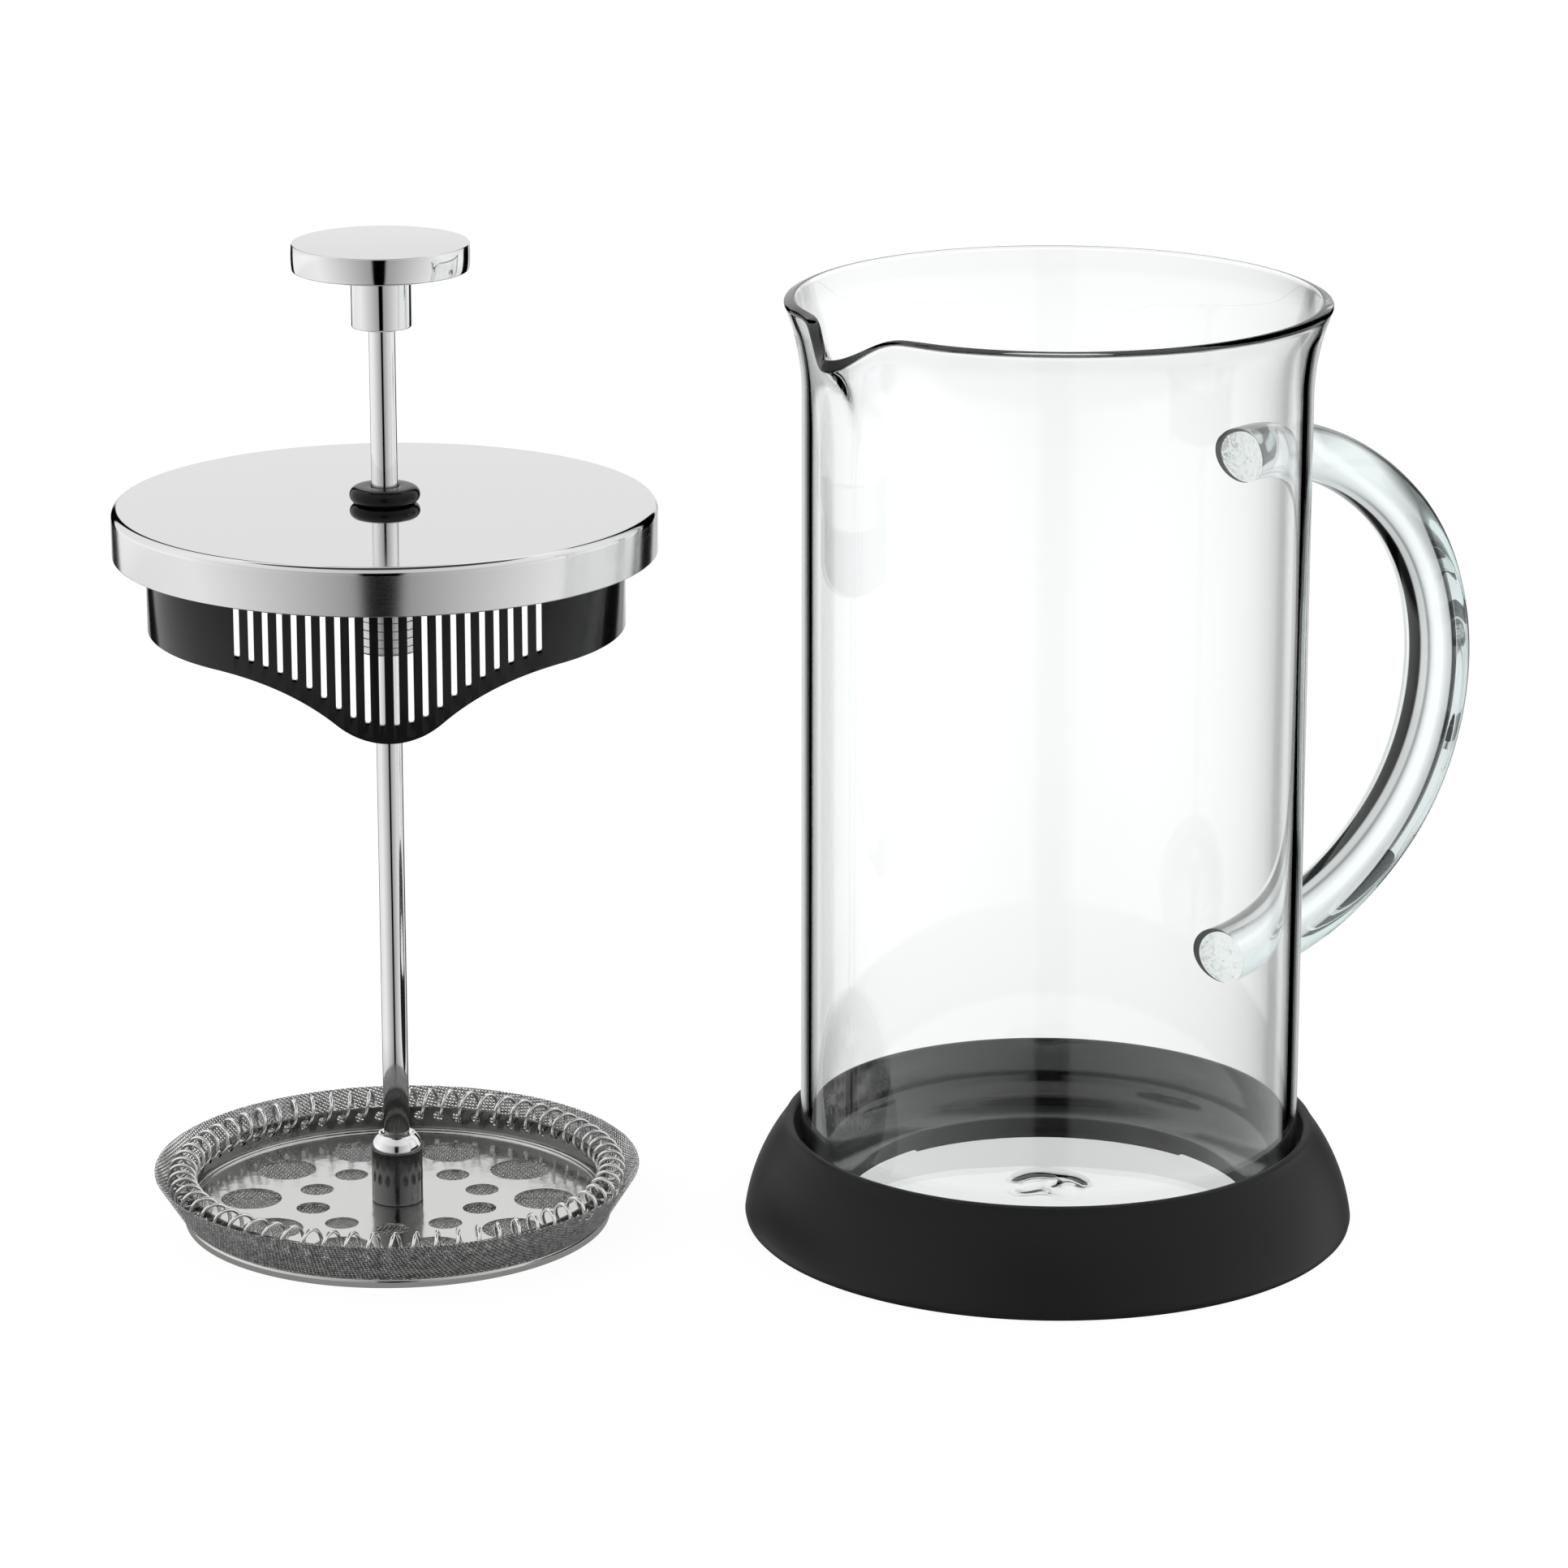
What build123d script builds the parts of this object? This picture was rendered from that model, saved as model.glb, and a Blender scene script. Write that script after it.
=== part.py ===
# French press: a glass jug in a soft base, with its plunger standing beside it and the lid on the rod.
# The table is z = 0, +X runs from the plunger to the jug, and the origin is under the middle of both.
from build123d import *
import os
from math import acos, atan, atan2, cos, degrees, hypot, pi, radians, sin, sqrt

os.makedirs("parts", exist_ok=True)

# Driving dimensions, in millimetres and degrees

# Glass jug
glass_outer_diameter = 96.0
glass_wall = 2.0
glass_floor = 2.6
glass_heel_radius = 10.0
jug_height = 181.0
rim_flare = 3.5
rim_flare_height = 17.5
pour_angle = 41.0  # the handle's turn behind the line from the plunger to the jug; the spout is opposite

# Spout, pulled out of the rim and down
spout_height = 23.0
spout_foot_radius = 6.0
spout_mouth_radius = 15.0
spout_reach = 7.1  # past the rim, before the lip is scooped out
spout_width = 28.0
spout_drop = 6.5

# Glass handle, an oval bar bent to a bow and welded on
handle_middle_height = 94.0
handle_half_height = 51.0
handle_reach = 58.4  # from the glass to the middle of the bar
handle_shoulder = 5.0  # how much tighter the bow's nose is than its half height
handle_thickness = 11.0
handle_width = 14.8
weld_width = 21.0
weld_height = 17.0
weld_length = 14.0
weld_taper = 2.0

# Base ring
base_diameter = 117.6
base_height = 19.6
base_opening_diameter = 69.0
base_ledge = 4.0
base_bulge = 1.3
base_lip_width = 2.0
base_lip_gap = 1.4
base_lip_depth = 3.6
base_foot_bevel = 1.0
base_grip = 0.15

# Plunger
standing_distance = 126.4  # between the two upright axes
plunger_height = 192.0
knob_diameter = 33.6
knob_thickness = 5.0
knob_edge_bulge = 0.3
neck_diameter = 11.4
neck_length = 11.0
neck_bevel = 0.4
rod_diameter = 5.0
running_clearance = 0.05

# Filter
mesh_press = 1.0  # how far the free screen stands past the bore of the glass
mesh_rim_height = 10.2
mesh_thickness = 0.4
mesh_flare = 5.2
plate_sheet = 0.6
plate_wall = 0.5
plate_wall_inset = 0.9
plate_bead = 0.45
cross_sheet = 0.8
cross_height = 2.0
cross_inset = 0.5
cross_hub_diameter = 14.0
spoke_width = 7.0
spoke_rim = 5.0
stud_length = 6.0
large_hole_diameter = 11.8
large_hole_margin = 6.0
small_hole_diameter = 6.5
hole_row_step = 11.55
hole_count = 10
hub_diameter = 9.9
hub_height = 13.7
hub_shoulder = 3.1
hub_crown = 1.4
hub_recess = 0.7

# Spring, laced through the holes in the wall of the plate
coil_count = 65
wire_diameter = 0.75
loop_radius = 2.6
spring_rise = 5.4  # from the plate's floor to the middle of the loops
spring_clearance = 0.15
lace_hole_diameter = 1.8
lace_land = 1.0
measured_points = 40  # per coil

# Lid
lid_parking_height = 142.3  # top of the lid where it stands on the rod
lid_overhang = 0.0
lid_height = 9.2
lid_sheet = 0.7
lid_edge_radius = 1.5
collar_clearance = 0.8
collar_wall = 1.8
collar_depth = 14.3
flange_thickness = 1.8
flange_clearance = 0.2
lobe_half_width = 32.0
lobe_drop = 12.5
lobe_nose_radius = 15.5
lobe_turn = 4.0  # the lobe's turn towards the jug, from straight ahead
slot_count = 22
slot_pitch = 2.64
slot_width = 1.05
slot_land = 3.1
slot_drop = 1.9  # from the bottom of the lid to the tops of the slots
grommet_diameter = 13.4
grommet_height = 3.2
grommet_bulge = 1.5
bush_diameter = 12.4
bush_drop = 19.4  # below the bottom of the lid
bush_neck_diameter = 8.2
bush_flare = 1.3
bush_flare_height = 3.0
bush_bevel = 0.6
band_count = 8
band_pitch = 1.6
band_depth = 0.25

# Radii and heights that follow
glass_r = glass_outer_diameter / 2
bore_r = glass_r - glass_wall
rim_r = glass_r + rim_flare
flare_start = jug_height - rim_flare_height
inner_floor = base_ledge + glass_floor
base_r = base_diameter / 2
lid_r = rim_r + lid_overhang
mesh_rim_r = bore_r + mesh_press
rod_r = rod_diameter / 2
running_r = rod_r + running_clearance

# Where the two stand, so that the origin is under the middle of the whole
turn = radians(pour_angle)
bow_r = glass_r + handle_reach
bow_right = bow_r * cos(turn) + hypot(handle_thickness / 2 * cos(turn), handle_width / 2 * sin(turn))
bow_back = bow_r * sin(turn) + hypot(handle_thickness / 2 * sin(turn), handle_width / 2 * cos(turn))
reach_right = max(base_r, bow_right)
reach_back = max(base_r, bow_back)
reach_left = standing_distance + max(lid_r, mesh_rim_r)
jug_x = (reach_left - reach_right) / 2
jug_y = (base_r - reach_back) / 2
plunger_x = jug_x - standing_distance

jug_axis = Axis((jug_x, jug_y, 0), (0, 0, 1))
jug_plane = Plane((jug_x, jug_y, 0), x_dir=(cos(turn), sin(turn), 0), z_dir=(0, 0, 1))
jug_section = Plane((jug_x, jug_y, 0), x_dir=(cos(turn), sin(turn), 0), z_dir=(sin(turn), -cos(turn), 0))
handle_facing = Plane((jug_x, jug_y, 0), x_dir=(0, 0, 1), z_dir=(cos(turn), sin(turn), 0))
spout_facing = Plane((jug_x, jug_y, 0), x_dir=(0, 0, 1), z_dir=(-cos(turn), -sin(turn), 0))
plunger_axis = Axis((plunger_x, jug_y, 0), (0, 0, 1))
plunger_plane = Plane((plunger_x, jug_y, 0))
plunger_section = Plane((plunger_x, jug_y, 0), x_dir=(1, 0, 0), z_dir=(0, -1, 0))

# Glass beaker: the outer shape with its pulled spout, less the inner shape and its channel
spout_foot = jug_height - spout_height
spout_foot_centre = glass_r - spout_foot_radius - running_clearance
spout_mouth_centre = rim_r + spout_reach - spout_mouth_radius
scoop_radius = ((spout_width / 2) ** 2 + spout_drop**2) / (2 * spout_drop)
scoop_middle = jug_height - spout_drop + scoop_radius

with BuildPart() as glass_beaker:
    for wall, floor_z, mode in ((0, base_ledge, Mode.ADD), (glass_wall, inner_floor, Mode.SUBTRACT)):
        side = glass_r - wall
        heel = glass_heel_radius - wall
        with BuildSketch(jug_section):
            with BuildLine():
                Line((0, floor_z), (side - heel, floor_z))
                TangentArc((side - heel, floor_z), (side, floor_z + heel), tangent=(1, 0))
                Line((side, floor_z + heel), (side, flare_start))
                TangentArc((side, flare_start), (rim_r - wall, jug_height), tangent=(0, 1))
                Polyline((rim_r - wall, jug_height), (0, jug_height), (0, floor_z))
            make_face()
        revolve(axis=jug_axis, mode=mode)
        with BuildSketch(jug_plane.offset(spout_foot)):
            with Locations((-spout_foot_centre, 0)):
                Circle(spout_foot_radius - wall)
        with BuildSketch(jug_plane.offset(jug_height)):
            with Locations((-spout_mouth_centre, 0)):
                Circle(spout_mouth_radius - wall)
        loft(mode=mode)
    with BuildSketch(spout_facing.offset(bore_r / 2)):
        with Locations((scoop_middle, 0)):
            Circle(scoop_radius)
    extrude(amount=glass_r, mode=Mode.SUBTRACT)

# Glass handle: three arcs that run into each other, flared where they are welded to the beaker
handle_top = handle_middle_height + handle_half_height
handle_bottom = handle_middle_height - handle_half_height
nose_r = handle_half_height - handle_shoulder
nose_centre = handle_reach - nose_r
arm_r = (nose_centre**2 + handle_half_height**2 - nose_r**2) / (2 * handle_shoulder)
nose_angle = degrees(atan2(arm_r - handle_half_height, nose_centre))
weld_start = sqrt(glass_r**2 - (weld_width / 2) ** 2) - running_clearance

with BuildPart() as glass_handle:
    with BuildLine(jug_section):
        Line((weld_start, handle_top), (glass_r, handle_top))
        CenterArc((glass_r, handle_top - arm_r), arm_r, 90, nose_angle - 90)
        CenterArc((glass_r + nose_centre, handle_middle_height), nose_r, nose_angle, -2 * nose_angle)
        CenterArc((glass_r, handle_bottom + arm_r), arm_r, -nose_angle, nose_angle - 90)
        Line((glass_r, handle_bottom), (weld_start, handle_bottom))
    with BuildSketch(handle_facing.offset(weld_start)):
        with Locations((handle_top, 0)):
            Ellipse(handle_thickness / 2, handle_width / 2)
    sweep()
    for weld_z in (handle_top, handle_bottom):
        with BuildSketch(handle_facing.offset(weld_start)):
            with Locations((weld_z, 0)):
                Ellipse(weld_height / 2, weld_width / 2)
        with BuildSketch(handle_facing.offset(weld_start + weld_length)):
            with Locations((weld_z, 0)):
                Ellipse(handle_thickness / 2 - weld_taper, handle_width / 2 - weld_taper)
        loft()
    with BuildSketch(jug_plane):
        Circle(glass_r)
    extrude(amount=jug_height, mode=Mode.SUBTRACT)

# Base ring: bulging outside, a lip that stands clear of the glass, and a ledge under its heel
lip_inner_r = glass_r + base_lip_gap
lip_outer_r = lip_inner_r + base_lip_width
grip_r = glass_r + base_grip
opening_r = base_opening_diameter / 2
foot_r = base_r - base_foot_bevel
bulge_mid = ((base_r + lip_outer_r) / 2 + base_bulge, (base_height + base_foot_bevel) / 2)

with BuildPart() as base_ring:
    with BuildSketch(jug_section):
        with BuildLine():
            Polyline((foot_r, 0), (opening_r, 0), (opening_r, base_ledge), (grip_r, base_ledge))
            Line((grip_r, base_ledge), (grip_r, base_height - base_lip_depth))
            Line((grip_r, base_height - base_lip_depth), (lip_inner_r, base_height - base_lip_width / 2))
            ThreePointArc(
                (lip_inner_r, base_height - base_lip_width / 2),
                (lip_inner_r + base_lip_width / 2, base_height),
                (lip_outer_r, base_height - base_lip_width / 2),
            )
            ThreePointArc(
                (lip_outer_r, base_height - base_lip_width / 2), bulge_mid, (base_r, base_foot_bevel)
            )
            Line((base_r, base_foot_bevel), (foot_r, 0))
        make_face()
    revolve(axis=jug_axis)

# Knob: a disc with a bulging edge on a short ferrule
knob_r = knob_diameter / 2
knob_bottom = plunger_height - knob_thickness
knob_flat = knob_r - knob_edge_bulge
neck_r = neck_diameter / 2
neck_bottom = knob_bottom - neck_length

with BuildPart() as knob_disc:
    with BuildSketch(plunger_section):
        with BuildLine():
            Line((0, knob_bottom), (knob_flat, knob_bottom))
            ThreePointArc(
                (knob_flat, knob_bottom),
                (knob_r, knob_bottom + knob_thickness / 2),
                (knob_flat, plunger_height),
            )
            Polyline((knob_flat, plunger_height), (0, plunger_height), (0, knob_bottom))
        make_face()
    revolve(axis=plunger_axis)

with BuildPart() as knob_neck:
    with BuildSketch(plunger_section):
        with BuildLine():
            Polyline((running_r, knob_bottom), (neck_r, knob_bottom), (neck_r, neck_bottom + neck_bevel))
            TangentArc(
                (neck_r, neck_bottom + neck_bevel), (neck_r - neck_bevel, neck_bottom), tangent=(0, -1)
            )
            Polyline((neck_r - neck_bevel, neck_bottom), (running_r, neck_bottom), (running_r, knob_bottom))
        make_face()
    revolve(axis=plunger_axis)

# Rod: from the stud inside the hub nut up to the knob
mesh_top = cross_height + mesh_thickness
plate_floor = mesh_top + plate_sheet
stud_top = plate_floor + stud_length

with BuildPart() as plunger_rod:
    with BuildSketch(plunger_plane.offset(stud_top)):
        Circle(rod_r)
    extrude(amount=knob_bottom - stud_top)

# Hub nut: domed, with a small recess round the rod
hub_r = hub_diameter / 2
hub_top = plate_floor + hub_height

with BuildPart() as hub_nut:
    with BuildSketch(plunger_section):
        with BuildLine():
            Polyline((running_r, plate_floor), (hub_r, plate_floor), (hub_r, hub_top - hub_shoulder))
            TangentArc((hub_r, hub_top - hub_shoulder), (hub_r - hub_crown, hub_top), tangent=(0, 1))
            Polyline(
                (hub_r - hub_crown, hub_top),
                (running_r + hub_recess, hub_top),
                (running_r, hub_top - hub_recess),
                (running_r, plate_floor),
            )
        make_face()
    revolve(axis=plunger_axis)

# Cross plate: a spoked disc with a turned-down rim and the stud that the hub nut screws on
mesh_foot_r = mesh_rim_r - mesh_flare
cross_r = mesh_foot_r - cross_inset
spoke_end_r = cross_r - spoke_rim

with BuildPart() as cross_plate:
    with BuildSketch(plunger_plane):
        Circle(cross_r)
    extrude(amount=cross_height)
    with BuildSketch(plunger_plane):
        Circle(cross_r - cross_sheet)
    extrude(amount=cross_height - cross_sheet, mode=Mode.SUBTRACT)
    with BuildSketch(plunger_plane):
        Circle(spoke_end_r)
        Circle(cross_hub_diameter / 2, mode=Mode.SUBTRACT)
        Rectangle(2 * cross_r, spoke_width, mode=Mode.SUBTRACT)
        Rectangle(spoke_width, 2 * cross_r, mode=Mode.SUBTRACT)
    extrude(amount=cross_height, mode=Mode.SUBTRACT)
    with BuildSketch(plunger_plane.offset(cross_height)):
        Circle(rod_r)
    extrude(amount=stud_top - cross_height)

# Mesh screen: flat between the plates, then flared up and out to press on the glass
flare_rise = mesh_rim_height - cross_height
flare_slant = hypot(mesh_flare, flare_rise)
flare_across = mesh_thickness * flare_slant / flare_rise
inner_foot_r = mesh_foot_r - flare_across + mesh_thickness * mesh_flare / flare_rise

with BuildPart() as mesh_screen:
    with BuildSketch(plunger_section):
        with BuildLine():
            Polyline(
                (running_r, cross_height),
                (mesh_foot_r, cross_height),
                (mesh_rim_r, mesh_rim_height),
                (mesh_rim_r - flare_across, mesh_rim_height),
                (inner_foot_r, mesh_top),
                (running_r, mesh_top),
                (running_r, cross_height),
            )
        make_face()
    revolve(axis=plunger_axis)

# Spring: each loop leans on the flare of the screen and passes through the wall of the plate
loop_z = plate_floor + spring_rise
flare_r_at_loop = mesh_rim_r - flare_across - mesh_flare * (mesh_rim_height - loop_z) / flare_rise
loop_reach = (loop_radius + wire_diameter / 2 + spring_clearance) * flare_slant / flare_rise
loop_r = flare_r_at_loop - loop_reach
wall_outer_r = mesh_foot_r - plate_wall_inset
wall_inner_r = wall_outer_r - plate_wall
wall_mid_r = wall_outer_r - plate_wall / 2
lace_turn = 1 - acos((wall_mid_r - loop_r) / loop_radius) / (2 * pi)
lace_z = loop_z + loop_radius * sin(2 * pi * lace_turn)
wall_top = lace_z + lace_hole_diameter / 2 + lace_land
spring_turns = coil_count - 0.5


def spring_point(turns):
    loop = 2 * pi * turns
    around = loop / coil_count
    distance = loop_r + loop_radius * cos(loop)
    height = loop_z + loop_radius * sin(loop)
    return Vector(plunger_x + distance * cos(around), jug_y + distance * sin(around), height)


def spring_direction(turns):
    loop = 2 * pi * turns
    around = loop / coil_count
    distance = loop_r + loop_radius * cos(loop)
    outward = -loop_radius * sin(loop)
    onward = distance / coil_count
    return Vector(
        outward * cos(around) - onward * sin(around),
        outward * sin(around) + onward * cos(around),
        loop_radius * cos(loop),
    ).normalized()


def biarc_joint(start, start_way, end, end_way):
    chord = end - start
    lean = chord.dot(start_way + end_way)
    spread = 2 * (1 - start_way.dot(end_way))
    reach = (sqrt(lean**2 + spread * chord.dot(chord)) - lean) / spread
    return (start + end + (start_way - end_way) * reach) * 0.5


with BuildPart() as coil_spring:
    with BuildLine():
        first = spring_point(0)
        Line(first - spring_direction(0) * wire_diameter, first)
        for half_turn in range(round(2 * spring_turns)):
            start = spring_point(half_turn / 2)
            end = spring_point((half_turn + 1) / 2)
            start_way = spring_direction(half_turn / 2)
            end_way = spring_direction((half_turn + 1) / 2)
            joint = biarc_joint(start, start_way, end, end_way)
            first_arc = TangentArc(start, joint, tangent=start_way)
            TangentArc(joint, end, tangent=first_arc % 1)
        Line(end, end + end_way * wire_diameter)
    with BuildSketch(Plane(first - spring_direction(0) * wire_diameter, z_dir=spring_direction(0))):
        Circle(wire_diameter / 2)
    sweep()

# Least gap from a coil to the coils before it, on points along the wire's middle
wire_points = [
    spring_point(step / measured_points) for step in range(round(spring_turns * measured_points) + 1)
]
least_gap = min(
    (wire_points[step] - wire_points[other]).length - wire_diameter
    for step in range(len(wire_points))
    for other in range(max(0, step - 3 * measured_points // 2), step - measured_points // 2)
)
ends_gap = min((point - wire_points[0]).length for point in wire_points[-measured_points:]) - wire_diameter
print(f"spring: {spring_turns} turns, least gap to itself {min(least_gap, ends_gap):.2f} mm")

# Spring plate: a dish with two rings of holes and one small hole in its wall for each coil
large_circle_r = wall_inner_r - large_hole_margin - large_hole_diameter / 2
small_circle_r = large_circle_r - hole_row_step

with BuildPart() as spring_plate:
    with BuildSketch(plunger_plane.offset(mesh_top)):
        Circle(wall_outer_r)
    extrude(amount=wall_top - mesh_top)
    with BuildSketch(plunger_plane.offset(plate_floor)):
        Circle(wall_inner_r)
    extrude(amount=wall_top - plate_floor, mode=Mode.SUBTRACT)
    with BuildSketch(plunger_section):
        with Locations((wall_inner_r - 2 * plate_bead, plate_floor)):
            Circle(plate_bead)
    revolve(axis=plunger_axis)
    with BuildSketch(plunger_plane.offset(mesh_top - plate_bead)):
        Circle(wall_outer_r)
    extrude(amount=plate_bead, mode=Mode.SUBTRACT)
    with BuildSketch(plunger_plane.offset(mesh_top)):
        Circle(running_r)
        with PolarLocations(large_circle_r, hole_count, start_angle=180 / hole_count - 90):
            Circle(large_hole_diameter / 2)
        with PolarLocations(small_circle_r, hole_count, start_angle=-90):
            Circle(small_hole_diameter / 2)
    extrude(amount=plate_sheet, mode=Mode.SUBTRACT)
    for coil in range(coil_count):
        around = 2 * pi * (coil + lace_turn) / coil_count
        outward = Vector(cos(around), sin(around), 0)
        wall_point = Vector(plunger_x, jug_y, lace_z) + outward * wall_mid_r
        with BuildSketch(Plane(wall_point, z_dir=outward)):
            Circle(lace_hole_diameter / 2)
        extrude(amount=plate_wall, both=True, mode=Mode.SUBTRACT)

# Lid cap: drawn sheet steel with a rounded edge and a hole for the bush
lid_top = lid_parking_height
lid_bottom = lid_top - lid_height
cap_inside = lid_top - lid_sheet
skirt_r = lid_r - lid_sheet
edge_start = lid_r - lid_edge_radius
edge_end = lid_top - lid_edge_radius
bush_neck_r = bush_neck_diameter / 2
bush_hole_r = bush_neck_r + running_clearance

with BuildPart() as lid_cap:
    with BuildSketch(plunger_section):
        with BuildLine():
            Line((bush_hole_r, lid_top), (edge_start, lid_top))
            TangentArc((edge_start, lid_top), (lid_r, edge_end), tangent=(1, 0))
            Polyline((lid_r, edge_end), (lid_r, lid_bottom), (skirt_r, lid_bottom), (skirt_r, edge_end))
            TangentArc((skirt_r, edge_end), (edge_start, cap_inside), tangent=(0, 1))
            Polyline((edge_start, cap_inside), (bush_hole_r, cap_inside), (bush_hole_r, lid_top))
        make_face()
    revolve(axis=plunger_axis)

# Strainer collar: a flange inside the cap, and a wall whose front hangs down in a slotted lobe
lobe_way = radians(lobe_turn)
lobe_facing = Plane(
    (plunger_x, jug_y, 0), x_dir=(cos(lobe_way), sin(lobe_way), 0), z_dir=(sin(lobe_way), -cos(lobe_way), 0)
)
collar_r = bore_r - collar_clearance
collar_inner_r = collar_r - collar_wall
flange_r = skirt_r - flange_clearance
flange_bottom = cap_inside - flange_thickness
flange_edge = lid_edge_radius - lid_sheet
collar_bottom = lid_bottom - collar_depth
lobe_tip = collar_bottom - lobe_drop
lobe_lean = 2 * atan(lobe_drop / lobe_half_width)
shoulder_radius = lobe_half_width / sin(lobe_lean) - lobe_nose_radius
lean_x = lobe_nose_radius * sin(lobe_lean)
lean_z = lobe_tip + lobe_nose_radius * (1 - cos(lobe_lean))


def collar_edge(across):
    if abs(across) < lean_x:
        return lobe_tip + lobe_nose_radius - sqrt(lobe_nose_radius**2 - across**2)
    if abs(across) < lobe_half_width:
        inward = lobe_half_width - abs(across)
        return collar_bottom - shoulder_radius + sqrt(shoulder_radius**2 - inward**2)
    return collar_bottom


with BuildPart() as strainer_collar:
    with BuildSketch(plunger_plane.offset(lobe_tip)):
        Circle(collar_r)
        Circle(collar_inner_r, mode=Mode.SUBTRACT)
    extrude(amount=flange_bottom - lobe_tip)
    with BuildSketch(plunger_plane.offset(flange_bottom)):
        Circle(flange_r)
        Circle(bush_hole_r, mode=Mode.SUBTRACT)
    extrude(amount=flange_thickness)
    chamfer(strainer_collar.edges().group_by(Axis.Z)[-1].sort_by(SortBy.RADIUS)[-1], flange_edge)
    shoulder_mid = (lean_x + lobe_half_width) / 2
    with BuildSketch(lobe_facing):
        with BuildLine():
            Line((-lid_r, collar_bottom), (-lobe_half_width, collar_bottom))
            ThreePointArc(
                (-lobe_half_width, collar_bottom),
                (-shoulder_mid, collar_edge(shoulder_mid)),
                (-lean_x, lean_z),
            )
            ThreePointArc((-lean_x, lean_z), (0, lobe_tip), (lean_x, lean_z))
            ThreePointArc(
                (lean_x, lean_z),
                (shoulder_mid, collar_edge(shoulder_mid)),
                (lobe_half_width, collar_bottom),
            )
            Polyline(
                (lobe_half_width, collar_bottom),
                (lid_r, collar_bottom),
                (lid_r, lobe_tip - collar_wall),
                (-lid_r, lobe_tip - collar_wall),
                (-lid_r, collar_bottom),
            )
        make_face()
    extrude(amount=lid_r, mode=Mode.SUBTRACT)
    with BuildSketch(lobe_facing):
        with Locations((0, collar_bottom)):
            Rectangle(2 * lid_r, 2 * lobe_drop, align=(Align.CENTER, Align.MAX))
    extrude(amount=-lid_r, mode=Mode.SUBTRACT)
    slot_top = lid_bottom - slot_drop
    with BuildSketch(lobe_facing):
        for slot in range(slot_count):
            slot_x = (slot - (slot_count - 1) / 2) * slot_pitch
            slot_end = collar_edge(slot_x) + slot_land
            with Locations((slot_x, (slot_top + slot_end) / 2)):
                SlotOverall(slot_top - slot_end, slot_width, rotation=90)
    extrude(amount=lid_r, mode=Mode.SUBTRACT)

# Grommet: a bulging ring on top of the lid, round the rod
grommet_r = grommet_diameter / 2
grommet_top = lid_top + grommet_height
grommet_flat = grommet_r - grommet_bulge

with BuildPart() as rod_grommet:
    with BuildSketch(plunger_section):
        with BuildLine():
            Line((running_r, lid_top), (grommet_flat, lid_top))
            ThreePointArc(
                (grommet_flat, lid_top),
                (grommet_r, lid_top + grommet_height / 2),
                (grommet_flat, grommet_top),
            )
            Polyline((grommet_flat, grommet_top), (running_r, grommet_top), (running_r, lid_top))
        make_face()
    revolve(axis=plunger_axis)

# Guide bush: a grooved sleeve under the lid, whose neck passes up through the collar and the cap
bush_r = bush_diameter / 2
bush_bottom = lid_bottom - bush_drop
bush_flare_r = bush_r + bush_flare
band_start = bush_bottom + 2 * bush_bevel

with BuildPart() as guide_bush:
    with BuildSketch(plunger_section):
        with BuildLine():
            Polyline(
                (running_r, bush_bottom),
                (bush_r - bush_bevel, bush_bottom),
                (bush_r, bush_bottom + bush_bevel),
                (bush_r, flange_bottom - bush_flare_height),
                (bush_flare_r, flange_bottom),
                (bush_neck_r, flange_bottom),
                (bush_neck_r, lid_top),
                (running_r, lid_top),
                (running_r, bush_bottom),
            )
        make_face()
        with Locations(*[(bush_r, band_start + (band + 0.5) * band_pitch) for band in range(band_count)]):
            Rectangle(2 * band_depth, band_pitch / 2, mode=Mode.SUBTRACT)
    revolve(axis=plunger_axis)

pieces = {
    "glass_beaker": glass_beaker,
    "glass_handle": glass_handle,
    "base_ring": base_ring,
    "knob_disc": knob_disc,
    "knob_neck": knob_neck,
    "plunger_rod": plunger_rod,
    "hub_nut": hub_nut,
    "spring_plate": spring_plate,
    "coil_spring": coil_spring,
    "mesh_screen": mesh_screen,
    "cross_plate": cross_plate,
    "lid_cap": lid_cap,
    "strainer_collar": strainer_collar,
    "rod_grommet": rod_grommet,
    "guide_bush": guide_bush,
}
for name, piece in pieces.items():
    piece.part.label = name
    export_step(piece.part, f"parts/{name}.step")
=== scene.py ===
from math import acos, atan2, cos, exp, hypot, pi, radians, sin, sqrt, tan

import bpy
from mathutils import Matrix, Vector


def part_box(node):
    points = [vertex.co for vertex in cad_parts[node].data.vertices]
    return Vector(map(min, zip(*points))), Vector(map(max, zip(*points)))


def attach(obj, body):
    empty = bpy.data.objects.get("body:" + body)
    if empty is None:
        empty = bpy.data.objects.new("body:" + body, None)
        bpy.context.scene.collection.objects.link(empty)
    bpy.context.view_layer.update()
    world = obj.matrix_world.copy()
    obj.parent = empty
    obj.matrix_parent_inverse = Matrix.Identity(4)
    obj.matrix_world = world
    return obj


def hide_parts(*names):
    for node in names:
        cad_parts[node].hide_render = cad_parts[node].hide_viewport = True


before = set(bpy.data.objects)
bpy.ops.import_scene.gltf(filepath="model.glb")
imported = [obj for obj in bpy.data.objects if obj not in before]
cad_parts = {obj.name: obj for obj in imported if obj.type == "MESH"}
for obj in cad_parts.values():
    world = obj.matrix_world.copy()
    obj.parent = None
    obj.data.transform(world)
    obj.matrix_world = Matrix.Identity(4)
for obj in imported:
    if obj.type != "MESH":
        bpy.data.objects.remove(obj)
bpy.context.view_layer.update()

mm = 0.001


# Base ring
# A soft black ring, moulded in one piece, that the heel of the glass is pressed into. Its outside bulges
# a little, its rounded lip stands clear of the glass, and its middle is open to the table.


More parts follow.
